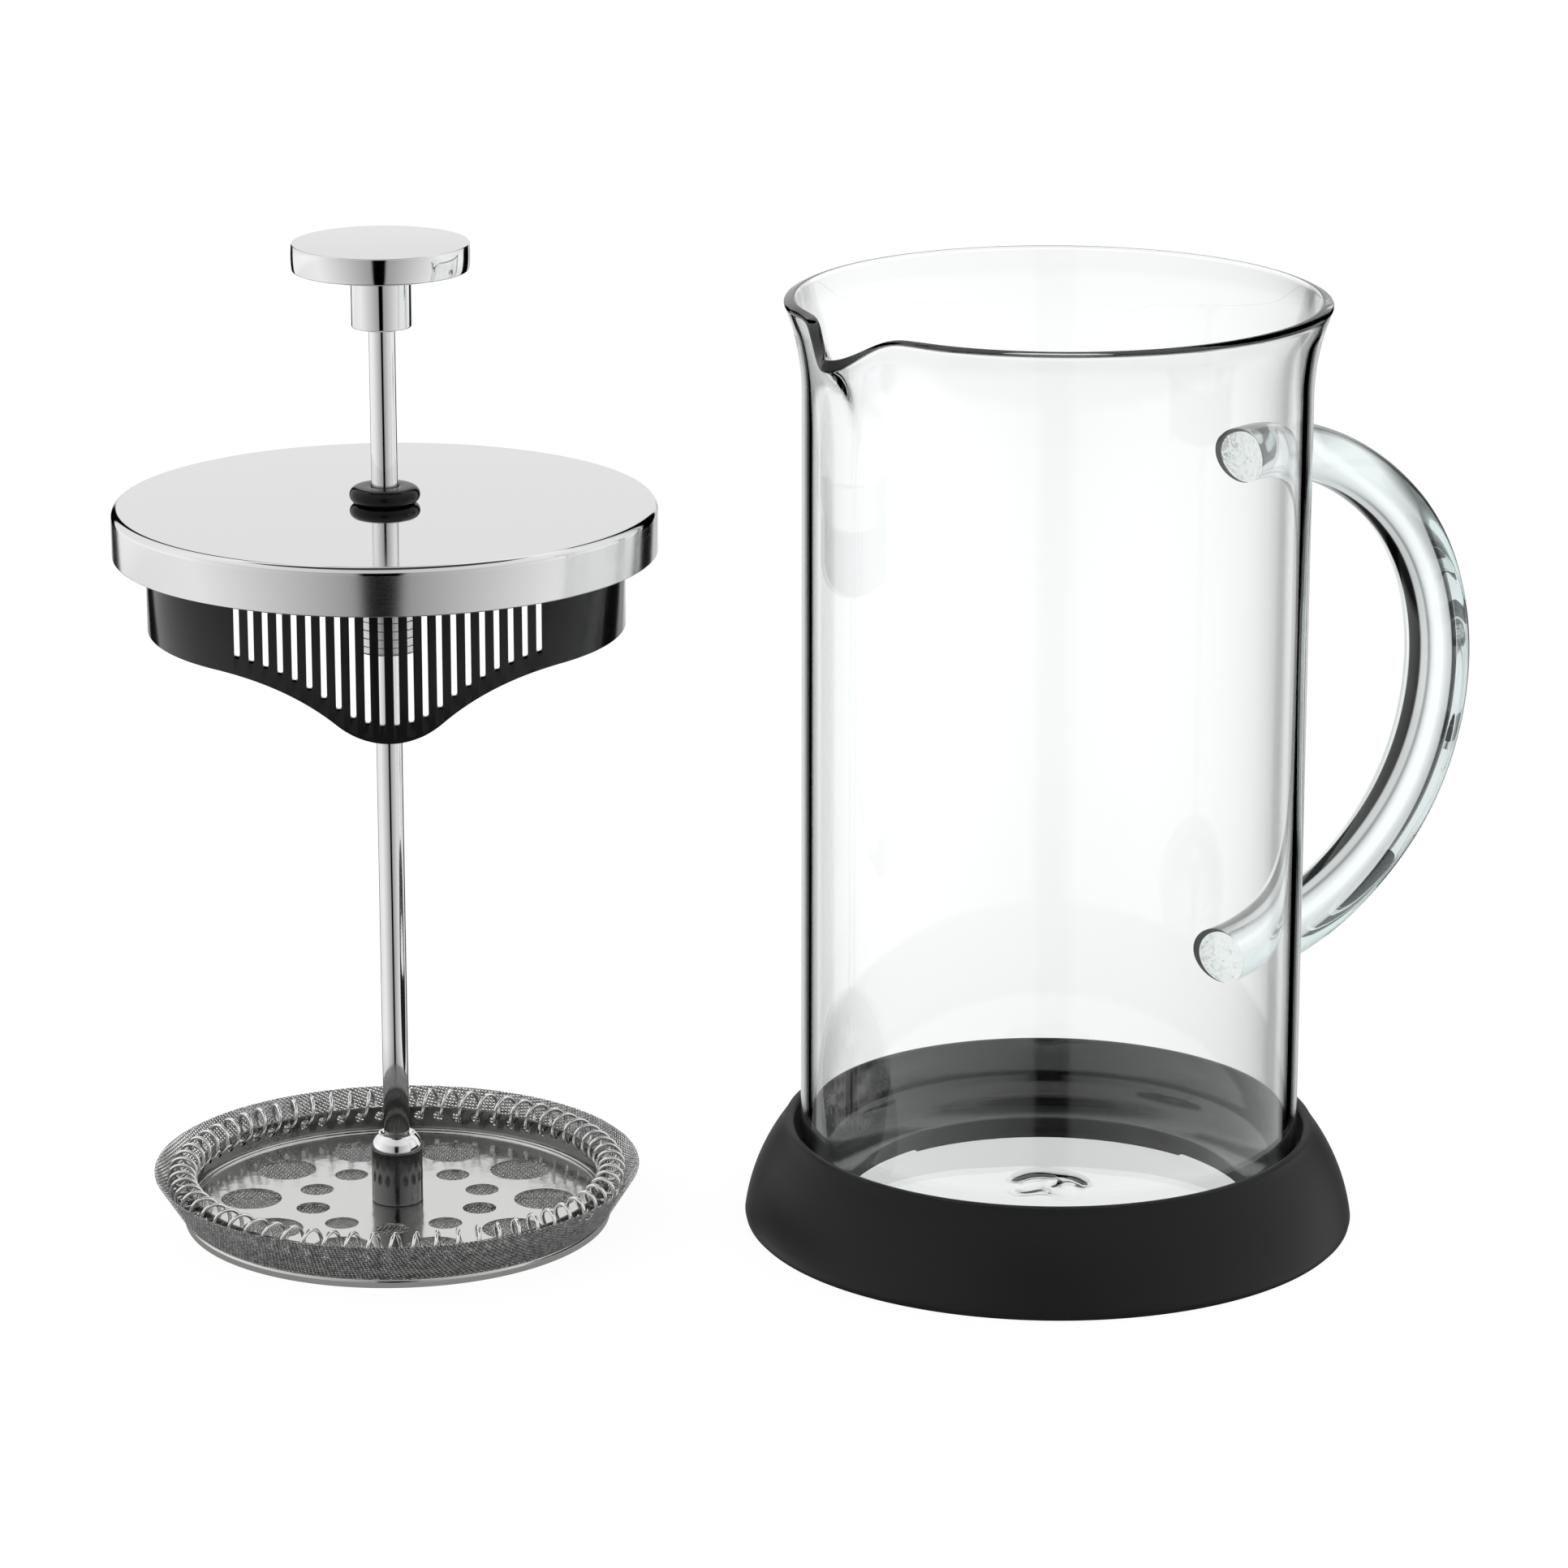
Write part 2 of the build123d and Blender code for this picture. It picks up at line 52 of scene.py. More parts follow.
def middle_of(node):
    """The upright line through a turned CAD node, as the point where it meets the table."""
    low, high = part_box(node)
    return Vector(((low.x + high.x) / 2, (low.y + high.y) / 2, 0))


def bowed(start, end, bulge, steps=8):
    """Points of an arc from start to end. Its middle lies off the straight line by bulge, to its right."""
    start, end = Vector(start), Vector(end)
    half = (end - start) / 2
    side = Vector((half.y, -half.x)).normalized()
    bend = (half.length_squared + bulge**2) / (2 * bulge)
    centre = (start + end) / 2 + side * (bulge - bend)
    sweep = 2 * acos((bend - bulge) / bend)
    first = start - centre
    points = []
    for step in range(steps + 1):
        angle = sweep * step / steps
        points.append(
            (
                centre.x + first.x * cos(angle) - first.y * sin(angle),
                centre.y + first.x * sin(angle) + first.y * cos(angle),
            )
        )
    return points


def rounded(corners, steps=5):
    """An outline through the corners. One with a third value is rounded off by an arc of that radius."""
    points = []
    for index, corner in enumerate(corners):
        here = Vector(corner[:2])
        if len(corner) == 2:
            points.append(tuple(here))
            continue
        before = (Vector(corners[index - 1][:2]) - here).normalized()
        after = (Vector(corners[(index + 1) % len(corners)][:2]) - here).normalized()
        half = before.angle(after) / 2
        centre = here + (before + after).normalized() * corner[2] / sin(half)
        reach = corner[2] / tan(half)
        first = here + before * reach - centre
        last = here + after * reach - centre
        start = atan2(first.y, first.x)
        sweep = (atan2(last.y, last.x) - start + pi) % (2 * pi) - pi
        for step in range(steps + 1):
            angle = start + sweep * step / steps
            points.append((centre.x + corner[2] * cos(angle), centre.y + corner[2] * sin(angle)))
    return points


same_spot = 0.001 * mm  # points nearer than this are merged


def turned(name, middle, outline, steps=160):
    """Lathe work: draws an outline of radii and heights beside the upright line and spins it round."""
    bpy.context.tool_settings.mesh_select_mode = (True, False, False)
    bpy.ops.object.select_all(action="DESELECT")
    start = middle + Vector((outline[0][0], 0, outline[0][1]))
    bpy.ops.mesh.primitive_plane_add(size=mm, calc_uvs=False, location=start)
    piece = bpy.context.object
    piece.name = name
    bpy.ops.object.transform_apply()
    bpy.ops.object.mode_set(mode="EDIT")
    bpy.ops.mesh.merge(type="CENTER")
    for here, there in zip(outline, outline[1:]):
        step = (there[0] - here[0], 0, there[1] - here[1])
        bpy.ops.mesh.extrude_vertices_move(TRANSFORM_OT_translate={"value": step})
    bpy.ops.mesh.select_all(action="SELECT")
    bpy.ops.mesh.remove_doubles(threshold=same_spot)
    bpy.ops.mesh.spin(steps=steps, angle=2 * pi, center=middle, axis=(0, 0, 1))
    bpy.ops.mesh.select_all(action="SELECT")
    bpy.ops.mesh.remove_doubles(threshold=same_spot)
    bpy.ops.mesh.normals_make_consistent(inside=False)
    bpy.ops.object.mode_set(mode="OBJECT")
    return piece


def picked(*pieces):
    """Selects the pieces and nothing else, with the first one active."""
    bpy.ops.object.select_all(action="DESELECT")
    for piece in pieces:
        piece.select_set(True)
    bpy.context.view_layer.objects.active = pieces[0]


def smoothed(piece, degrees):
    """Smooth shading, with edges sharper than the angle left crisp."""
    picked(piece)
    bpy.ops.object.shade_smooth_by_angle(angle=radians(degrees))


class Socket:
    """A shader output that takes part in sums: each operator adds a Math node."""

    def __init__(self, tree, output):
        self.tree = tree
        self.output = output

    def node(self, kind, settings, inputs, output=0):
        """One output of a new node, whose settings are made before its inputs are set or linked."""
        made = self.tree.nodes.new("ShaderNode" + kind)
        for name, value in settings.items():
            if name == "stops":
                ramp = made.color_ramp.elements
                while len(ramp) < len(value):
                    ramp.new(1.0)
                for stop, (position, grey) in zip(ramp, value):
                    stop.position = position
                    stop.color = (grey, grey, grey, 1)
            else:
                setattr(made, name, value)
        for name, value in inputs.items():
            if isinstance(value, Socket):
                self.tree.links.new(value.output, made.inputs[name])
            else:
                made.inputs[name].default_value = value
        return Socket(self.tree, made.outputs[output])

    def maths(self, operation, first, second=0):
        """A Math node on two values, or on the first alone."""
        return self.node("Math", {"operation": operation}, {0: first, 1: second})

    def __add__(self, other):
        return self.maths("ADD", self, other)

    def __sub__(self, other):
        return self.maths("SUBTRACT", self, other)

    def __rsub__(self, other):
        return self.maths("SUBTRACT", other, self)

    def __mul__(self, other):
        return self.maths("MULTIPLY", self, other)

    def __truediv__(self, other):
        return self.maths("DIVIDE", self, other)

    __radd__ = __add__
    __rmul__ = __mul__

    def into(self, shader, name):
        """Links the output to a socket of a shader."""
        self.tree.links.new(self.output, shader.inputs[name])


def new_finish(name, constants):
    """A material, its Principled shader with its even values, and the place of a point on the piece."""
    material = bpy.data.materials.new(name)
    material.use_nodes = True
    tree = material.node_tree
    shader = tree.nodes["Principled BSDF"]
    for socket, value in constants.items():
        shader.inputs[socket].default_value = value
    return material, shader, Socket(tree, tree.nodes.new("ShaderNodeTexCoord").outputs["Object"])


def noise(place, scale, detail=2.0, stretch=(1, 1, 1)):
    """Noise from 0 to 1, with scale cells to the metre, squeezed along each axis by the stretch."""
    spot = place.node("Mapping", {}, {"Vector": place, "Scale": stretch})
    return place.node("TexNoise", {}, {"Vector": spot, "Scale": scale, "Detail": detail})


def bump(place, height, depth, strength):
    """A normal from a relief of this depth."""
    return place.node("Bump", {}, {"Height": height, "Distance": depth, "Strength": strength})


def mixed(place, share, first, second):
    """A colour between two, by the share of the second."""
    inputs = {"Factor": share, 6: (*first, 1), 7: (*second, 1)}
    return place.node("Mix", {"data_type": "RGBA"}, inputs, 2)


def fitted(piece, body, slot, material, *nodes):
    """Gives a finished piece its material and body, and hides the CAD nodes that it stands for; slot is
    not used.
    """
    piece.data.materials.clear()
    piece.data.materials.append(material)
    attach(piece, body)
    if nodes:
        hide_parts(*nodes)


jug_middle = middle_of("base_ring")
base_low, base_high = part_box("base_ring")
base_r = (base_high.x - base_low.x) / 2
base_top = base_high.z
base_opening_r = 40.5 * mm
base_opening_round = 0.6 * mm
base_ledge = 5.2 * mm  # the height of the step that the glass stands on
base_bulge = 1.25 * mm
lip_inner_r = 49.4 * mm
lip_width = 2.0 * mm
lip_depth = 3.6 * mm
lip_outer_r = lip_inner_r + lip_width
lip_round = 0.9 * mm
grip_r = 48.15 * mm  # the bore that holds the glass
grip_round = 0.8 * mm
foot_round = 1.4 * mm
ring_black = (0.006, 0.006, 0.0065)
ring_grey = (0.011, 0.011, 0.0115)

# The foot and the outer lip are eased in two facets each
base_side = bowed((base_r, foot_round), (lip_outer_r, base_top - lip_round), base_bulge, 14)
base_outline = rounded(
    [
        (base_opening_r, 0, base_opening_round),
        (base_r - 0.5 * foot_round, 0),
        (base_r - 0.15 * foot_round, 0.35 * foot_round),
        *base_side,
        (lip_outer_r - 0.3 * lip_round, base_top - 0.25 * lip_round),
        (lip_outer_r - lip_round, base_top),
        (lip_inner_r, base_top, lip_round),
        (grip_r, base_top - lip_depth, grip_round),
        (grip_r, base_ledge, grip_round),
        (base_opening_r, base_ledge, base_opening_round),
    ]
)
base = turned("soft_base", jug_middle, [*base_outline, base_outline[0]], 192)
smoothed(base, 40)

base_black, shader, place = new_finish("soft_black", {"Specular IOR Level": 0.2})
grain = noise(place, 2600, 3)
cloud = noise(place, 45, 3)
mixed(place, cloud, ring_black, ring_grey).into(shader, "Base Color")
(0.36 + 0.12 * cloud + 0.06 * grain).into(shader, "Roughness")
bump(place, grain, 0.03 * mm, 0.35).into(shader, "Normal")
fitted(base, "jug", "base_black", base_black, "base_ring")


# Glass beaker
# Blown borosilicate glass, faintly green where it is seen through its depth. It has a rounded heel, a
# flared and fire-polished rim that is a little thicker than the wall, and a spout that was pulled out of
# the rim while it was soft. A small swirl is left in the middle of its floor.
beaker_low, beaker_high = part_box("glass_beaker")
rim_top = beaker_high.z
rim_r = (beaker_high.x - beaker_low.x) / 2
glass_bottom = beaker_low.z
glass_r = 48.0 * mm
glass_wall = 2.0 * mm
rim_bead = 2.4 * mm  # the thickness of the fire-polished edge
rim_round = 0.5 * mm
bead_height = 5.0 * mm  # over which the wall thickens to it
heel_tall = 10.0 * mm
heel_wide = 15.0 * mm
heel_rows = 12
flare_height = 17.5 * mm
flare_start = rim_top - flare_height
flare_bend = ((rim_r - glass_r) ** 2 + flare_height**2) / (2 * (rim_r - glass_r))
pour_turn = radians(41)  # the handle's turn behind the line from the plunger to the jug
handle_way = Vector((cos(pour_turn), sin(pour_turn), 0))
spout_skew = radians(4)  # how far the spout is off the handle's line
spout_turn = pi + pour_turn - spout_skew
spout_way = Vector((cos(spout_turn), sin(spout_turn), 0))
spout_height = 23.0 * mm
spout_half_width = 15.0 * mm
spout_pull = 4.1 * mm
spout_drop = 6.5 * mm
flank_arc = 1.05  # where the wall is drawn in beside the spout, in its half widths
flank_width = 0.4
flank_draw = 0.22  # of the pull
spout_rows = 20
wall_rows = 50
swirl_r = 7.5 * mm
swirl_rise = 1.0 * mm
floor_rows = 16
glass_tint = (0.60, 0.82, 0.82, 1)
tint_density = 19  # per metre of glass


def wall_radius(height):
    """Outside of the glass: straight, then leaning out on an arc to the rim."""
    rise = max(0, height - flare_start)
    return glass_r + flare_bend - sqrt(flare_bend**2 - rise**2)


def spout_arc(spot):
    """How far round the rim a point lies from the spout's middle, in half widths of the spout."""
    ahead = spot.x * spout_way.x + spot.y * spout_way.y
    across = spot.x * spout_way.y - spot.y * spout_way.x
    return abs(atan2(across, ahead)) * hypot(spot.x, spot.y) / spout_half_width


def spout_dip(arc):
    """How far the rim drops in the spout."""
    return spout_drop * (0.5 + 0.5 * cos(pi * min(arc, 1))) ** 1.15


def spout_pulled(arc, lift):
    """How far the wall is pulled out in the spout and drawn in beside it, from its foot to the rim."""
    pinch = exp(-((2.1 * arc) ** 1.35))
    flank = exp(-(((arc - flank_arc) / flank_width) ** 2))
    return spout_pull * (lift**1.7 * pinch - flank_draw * lift**2 * flank)


def swirl_height(spot):
    """The uneven ring in the middle of the floor."""
    ridge = exp(-(((hypot(spot.x, spot.y) - 0.6 * swirl_r) / (0.3 * swirl_r)) ** 2))
    turn = atan2(spot.y, spot.x)
    return swirl_rise * ridge * (0.4 + 0.5 * sin(turn + 0.6) + 0.35 * sin(3 * turn + 1.1))


floor_steps = [2 * swirl_r * row / floor_rows for row in range(floor_rows + 1)]
heel_arc = []
for row in range(heel_rows + 1):
    lean = pi / 2 * row / heel_rows
    heel_radius = glass_r - heel_wide + heel_wide * sin(lean)
    heel_arc.append((heel_radius, glass_bottom + heel_tall - heel_tall * cos(lean)))
heel_top = glass_bottom + heel_tall
spout_foot = rim_top - spout_height
wall_heights = [heel_top + (spout_foot - heel_top) * row / wall_rows for row in range(1, wall_rows)]
spout_heights = [spout_foot + spout_height * row / spout_rows for row in range(spout_rows + 1)]
beaker_outline = [
    *[(radius, glass_bottom) for radius in floor_steps],
    *heel_arc,
    *[(glass_r, height) for height in wall_heights],
    *[(wall_radius(height), height) for height in spout_heights],
]
beaker = turned("clear_beaker", jug_middle, beaker_outline, 288)

bead = beaker.vertex_groups.new(name="bead")
for vertex in beaker.data.vertices:
    spot = vertex.co - jug_middle
    bead.add([vertex.index], max(0, 1 - (rim_top - spot.z) / bead_height) ** 2, "REPLACE")
    if hypot(spot.x, spot.y) < 2 * swirl_r:
        vertex.co.z += swirl_height(spot)
    lift = (spot.z - spout_foot) / spout_height
    if lift > 0:
        arc = spout_arc(spot)
        outward = Vector((spot.x, spot.y, 0)).normalized()
        vertex.co += outward * spout_pulled(arc, lift)
        vertex.co.z -= spout_dip(arc) * lift**3

wall = beaker.modifiers.new("wall", "SOLIDIFY")
wall.thickness = rim_bead
wall.vertex_group = "bead"
wall.thickness_vertex_group = glass_wall / rim_bead
wall.offset = -1
wall.use_even_offset = True
fire_polish = beaker.modifiers.new("fire_polish", "BEVEL")
fire_polish.width = rim_round
fire_polish.segments = 4
fire_polish.limit_method = "ANGLE"
fire_polish.angle_limit = radians(55)


def applied(piece):
    """Applies the piece's modifiers to its mesh, in their order."""
    picked(piece)
    for modifier in list(piece.modifiers):
        bpy.ops.object.modifier_apply(modifier=modifier.name)


applied(beaker)

clear_glass, shader, place = new_finish(
    "clear_glass",
    {"Base Color": (1, 1, 1, 1), "Transmission Weight": 1.0, "IOR": 1.47, "Roughness": 0.0},
)
ripple = noise(place, 38, 1, (1, 1, 0.35))
bump(place, ripple, 0.02 * mm, 0.5).into(shader, "Normal")
tint = place.node("VolumeAbsorption", {}, {"Color": glass_tint, "Density": tint_density})
tint.into(clear_glass.node_tree.nodes["Material Output"], "Volume")


# Glass handle
# A solid oval bar of the same glass, bent to a bow while hot and welded to the beaker at both ends, the
# upper one a little to the side. A cloudy seam shows inside each weld.
handle_low, handle_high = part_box("glass_handle")
handle_middle = (handle_low.z + handle_high.z) / 2
half_height = 51.0 * mm
handle_reach = 58.4 * mm  # from the glass to the middle of the bar
shoulder = 5.0 * mm
bar_thick = 11.0 * mm
bar_wide = 14.8 * mm
weld_spread = 0.97  # the weld's size over the bar's
weld_skew = 3.2 * mm  # of the upper weld, sideways
weld_reach = 15.0 * mm  # how far from the glass the bar starts to change
weld_sunk = 0.3 * mm
weld_turn = radians(4.5)
bar_sides = 40
cap_rings = 3
seam_wide = 13.2 * mm  # the cloudy seam inside the weld
seam_tall = 10.0 * mm
seam_aside = 1.2 * mm
seam_depth = 0.5 * mm
seam_lean = 0.105  # of the lower seam, its top outwards
seam_rings = 5
seam_white = (0.97, 1, 0.98, 1)
nose_bend = half_height - shoulder
nose_out = handle_reach - nose_bend
arm_bend = (nose_out**2 + half_height**2 - nose_bend**2) / (2 * shoulder)
arm_turn = pi / 2 - atan2(arm_bend - half_height, nose_out)
handle_across = Vector((-handle_way.y, handle_way.x, 0))


def on_handle(outward, height):
    """A point in the handle's upright plane, by its distance from the glass and its height."""
    return jug_middle + handle_way * (glass_r + outward) + Vector((0, 0, height))


def bar_end(spot, thick, wide, fill):
    """An oval outline that stands upright across the handle's plane."""
    bpy.ops.object.select_all(action="DESELECT")
    bpy.ops.mesh.primitive_circle_add(
        vertices=bar_sides, radius=1, fill_type=fill, location=spot, rotation=(0, pi / 2, pour_turn)
    )
    oval = bpy.context.object
    oval.scale = (thick / 2, wide / 2, 1)
    bpy.ops.object.transform_apply()
    return oval


upper_weld = handle_middle + half_height
lower_weld = handle_middle - half_height
handle = bar_end(on_handle(0, upper_weld), bar_thick, bar_wide, "NOTHING")
handle.name = "welded_handle"
bpy.ops.object.mode_set(mode="EDIT")
bends = [
    (on_handle(0, upper_weld - arm_bend), weld_turn, 10),
    (on_handle(0, upper_weld - arm_bend), arm_turn - weld_turn, 22),
    (on_handle(nose_out, handle_middle), pi - 2 * arm_turn, 48),
    (on_handle(0, lower_weld + arm_bend), arm_turn - weld_turn, 22),
    (on_handle(0, lower_weld + arm_bend), weld_turn, 10),
]
for centre, sweep, steps in bends:
    bpy.ops.mesh.spin(steps=steps, angle=sweep, center=centre, axis=-handle_across, use_auto_merge=False)
bpy.ops.mesh.select_all(action="SELECT")
bpy.ops.mesh.remove_doubles(threshold=same_spot)
bpy.ops.mesh.fill_holes(sides=0)
bpy.ops.mesh.normals_make_consistent(inside=False)


def pick_faces(piece, wanted):
    """Selects, in edit mode, the faces that wanted says yes to."""
    bpy.context.tool_settings.mesh_select_mode = (False, False, True)
    bpy.ops.object.mode_set(mode="EDIT")
    bpy.ops.mesh.select_all(action="DESELECT")
    bpy.ops.object.mode_set(mode="OBJECT")
    for face in piece.data.polygons:
        face.select = wanted(face)
    bpy.ops.object.mode_set(mode="EDIT")


pick_faces(handle, lambda face: len(face.vertices) > 4)
for ring in range(cap_rings):
    bpy.ops.mesh.inset(thickness=bar_thick / (2 * cap_rings + 2), use_individual=True)
bpy.ops.mesh.poke()
bpy.ops.object.mode_set(mode="OBJECT")
for vertex in handle.data.vertices:
    spot = vertex.co - jug_middle
    outward = spot.dot(handle_way) - glass_r
    near = max(0, 1 - max(0, outward) / weld_reach)
    if near > 0:
        upper = 1 if spot.z > handle_middle else -1
        sunk = arm_bend - sqrt(arm_bend**2 - max(0, outward) ** 2)
        axis_z = handle_middle + upper * (half_height - sunk)
        spread = 1 + (weld_spread - 1) * (1 - sqrt(1 - near**2))
        aside = spot.dot(handle_across) * spread
        if upper > 0:
            aside -= weld_skew * near
        seat = sqrt((glass_r - weld_sunk) ** 2 - aside**2) - glass_r
        moved = on_handle(outward + seat * near**2, axis_z + (spot.z - axis_z) * spread)
        vertex.co = moved + handle_across * aside

seams = []
for weld_z, skew, lean in ((upper_weld, weld_skew, 0), (lower_weld, 0, seam_lean)):
    seam_middle = on_handle(0, weld_z) - handle_across * (seam_aside + skew)
    seam = bar_end(seam_middle, seam_tall, seam_wide, "NGON")
    bpy.ops.object.mode_set(mode="EDIT")
    for ring in range(seam_rings):
        bpy.ops.mesh.inset(thickness=seam_tall / (2 * seam_rings + 4))
    bpy.ops.mesh.poke()
    bpy.ops.object.mode_set(mode="OBJECT")
    for vertex in seam.data.vertices:
        spot = vertex.co - jug_middle
        aside = spot.dot(handle_across)
        seat = sqrt((glass_r - seam_depth) ** 2 - aside**2) - glass_r + lean * (spot.z - weld_z)
        vertex.co = on_handle(seat, spot.z) + handle_across * aside
    seams.append(seam)
picked(*seams)
bpy.ops.object.join()
seam = bpy.context.object
seam.name = "weld_seams"
smoothed(seam, 60)

cloudy_seam, shader, place = new_finish(
    "weld_seam", {"Base Color": seam_white, "Metallic": 1.0, "Roughness": 0.15}
)
specks = noise(place, 900, 3)
place.node("ValToRGB", {"stops": [(0.25, 0.7), (0.42, 1)]}, {"Fac": specks}).into(shader, "Alpha")
bump(place, specks, 0.2 * mm, 0.4).into(shader, "Normal")
fitted(seam, "jug", "clear_glass", cloudy_seam)

weld = beaker.modifiers.new("weld", "BOOLEAN")
weld.operation = "UNION"
weld.object = handle
applied(beaker)
bpy.data.objects.remove(handle)
smoothed(beaker, 40)
fitted(beaker, "jug", "clear_glass", clear_glass, "glass_beaker", "glass_handle")


# Cross plate
# The bottom plate of the filter, stamped from bright steel sheet: a spoked disc with a turned-down rim,
# and the stud that the hub nut screws on. It clamps the screen from below.
plunger_middle = middle_of("plunger_rod")
cross_low, cross_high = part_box("cross_plate")
cross_r = (cross_high.x - cross_low.x) / 2
cross_sheet = 0.8 * mm
cross_top = 2.0 * mm
cross_edge = 0.9 * mm
cross_bend = 0.2 * mm  # inside the turned-down rim
cross_hem = 0.3 * mm
cross_hub_r = 7.0 * mm
spoke_width = 7.0 * mm
spoke_rim = 5.0 * mm
stud_r = 2.5 * mm
stud_round = 0.4 * mm
window_deep = 6.0 * mm  # the cutter's depth, enough to pass through the sheet
island_deep = 8.0 * mm
sheet_grey = (0.72, 0.715, 0.7)

cross_outline = rounded(
    [
        (0, cross_top - cross_sheet),
        (cross_r - cross_sheet, cross_top - cross_sheet, cross_bend),
        (cross_r - cross_sheet, cross_low.z, cross_bend),
        (cross_r, cross_low.z, cross_hem),
        (cross_r, cross_top, cross_edge),
        (stud_r, cross_top),
        (stud_r, cross_high.z, stud_round),
        (0, cross_high.z),
    ]
)
cross = turned("spoked_plate", plunger_middle, cross_outline, 192)


def drilled(piece, cutters):
    """Cuts the cutters out of the piece, all in one go."""
    picked(*cutters)
    bpy.ops.object.join()
    cutter = bpy.context.object
    cut = piece.modifiers.new("holes", "BOOLEAN")
    cut.operation = "DIFFERENCE"
    cut.object = cutter
    applied(piece)
    bpy.data.objects.remove(cutter)


def drill(radius, length, spot, rotation=(0, 0, 0), sides=48):
    """A round cutter with its middle at the spot, upright unless it is turned."""
    bpy.ops.object.select_all(action="DESELECT")
    bpy.ops.mesh.primitive_cylinder_add(
        vertices=sides, radius=radius, depth=length, location=spot, rotation=rotation
    )
    bpy.ops.object.transform_apply()
    return bpy.context.object


cross_middle = plunger_middle + Vector((0, 0, cross_top))
windows = drill(cross_r - spoke_rim, window_deep, cross_middle, sides=128)
drilled(windows, [drill(cross_hub_r, island_deep, cross_middle)])
for spoke_turn in (0, pi / 2):
    bpy.ops.object.select_all(action="DESELECT")
    bpy.ops.mesh.primitive_cube_add(size=1, location=cross_middle, rotation=(0, 0, spoke_turn))
    spoke = bpy.context.object
    spoke.scale = (2 * cross_r, spoke_width, island_deep)
    bpy.ops.object.transform_apply()
    drilled(windows, [spoke])
drilled(cross, [windows])
smoothed(cross, 30)

plate_steel, shader, place = new_finish("stamped_steel", {"Metallic": 1.0, "Base Color": (*sheet_grey, 1)})
rolled = noise(place, 700, 3, (1, 0.04, 1))
dents = noise(place, 190, 2)
(0.1 + 0.1 * rolled).into(shader, "Roughness")
bump(place, dents + 0.12 * rolled, 0.22 * mm, 0.5).into(shader, "Normal")
fitted(cross, "plunger", "plate_steel", plate_steel, "cross_plate")


# Mesh screen
# A disc of fine woven steel wire, held between the two plates. Its edge is pressed up and outwards, so
# that it springs against the inside of the glass, and ends in a cut edge.
screen_low, screen_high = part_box("mesh_screen")
screen_r = (screen_high.x - screen_low.x) / 2
rod_hole_r = 2.55 * mm
screen_thick = 0.4 * mm
screen_top = screen_low.z + screen_thick  # of its flat middle
screen_flare = 5.2 * mm
screen_foot_r = screen_r - screen_flare
screen_bend = 1.6 * mm
screen_inner_bend = 1.2 * mm
screen_lean = 0.474 * mm  # the sheet's thickness, level across its leaning edge
screen_run = 0.25 * mm  # how far the edge leans out in the sheet's thickness
edge_share = 0.85  # how far the weave runs outwards, over the edge's rise
wire_pitch = 0.78 * mm
weave_turn = 0.3  # radians
wire_slimness = 24  # 1 over the square of a wire's half width, in pitches
wire_ride = 0.4  # a wire's rise and fall, over its height
# painted shade at the wires' edges and between them
painted_gap_shade = (0.06, 0.06, 0.06)
wire_grey = (0.95, 0.95, 0.94)
gap_height = 0.12  # below this the cloth is open

screen_outline = rounded(
    [
        (rod_hole_r, screen_low.z),
        (screen_foot_r, screen_low.z, screen_bend),
        (screen_r, screen_high.z),
        (screen_r - screen_lean, screen_high.z),
        (screen_foot_r - screen_lean + screen_run, screen_top, screen_inner_bend),
        (rod_hole_r, screen_top),
    ]
)
screen = turned("woven_screen", plunger_middle, [*screen_outline, screen_outline[0]], 192)
smoothed(screen, 50)

weave = screen.data.uv_layers.new(name="weave")
for loop in screen.data.loops:
    spot = screen.data.vertices[loop.vertex_index].co - plunger_middle
    radius = hypot(spot.x, spot.y)
    drawn = radius + edge_share * max(0, spot.z - screen_top)
    pitches = drawn / (radius * wire_pitch)
    weave.data[loop.index].uv = (spot.x * pitches, spot.y * pitches)

mesh_steel, shader, place = new_finish("woven_wire", {"Metallic": 1.0, "Roughness": 0.22})
on_cloth = place.node("TexCoord", {}, {}, "UV")
on_cloth = place.node("Mapping", {}, {"Vector": on_cloth, "Rotation": (0, 0, weave_turn)})


def along(place, axis):
    """One coordinate of a place."""
    return place.node("SeparateXYZ", {}, {"Vector": place}, axis)


def wire_round(across):
    """1 on the middle of a wire and 0 between two, with one wire in each pitch."""
    off = across.maths("FRACT", across) - 0.5
    return off.maths("SQRT", off.maths("MAXIMUM", 1 - off * off * wire_slimness))


def over_under(onward, across):
    """How high a wire rides: over one crossing and under the next, the other way on its neighbours."""
    return onward.maths("SINE", (onward + across.maths("FLOOR", across)) * pi)


warp = along(on_cloth, "X")
weft = along(on_cloth, "Y")
warp_height = wire_round(warp) * (1 - wire_ride + wire_ride * over_under(weft, warp))
weft_height = wire_round(weft) * (1 - wire_ride - wire_ride * over_under(warp, weft))
cloth_height = place.maths("MAXIMUM", warp_height, weft_height)
# painted glints: patches of the wires' base colour made brighter and darker at random
painted_glint = 2.6 * noise(place, 900, 2) - 0.4
# the base colour darkens towards the wires' edges and where a wire dips under another: painted shade
mixed(place, cloth_height * painted_glint, painted_gap_shade, wire_grey).into(shader, "Base Color")
place.maths("GREATER_THAN", cloth_height, gap_height).into(shader, "Alpha")
bump(place, cloth_height, 0.22 * mm, 0.9).into(shader, "Normal")
fitted(screen, "plunger", "mesh_steel", mesh_steel, "mesh_screen")
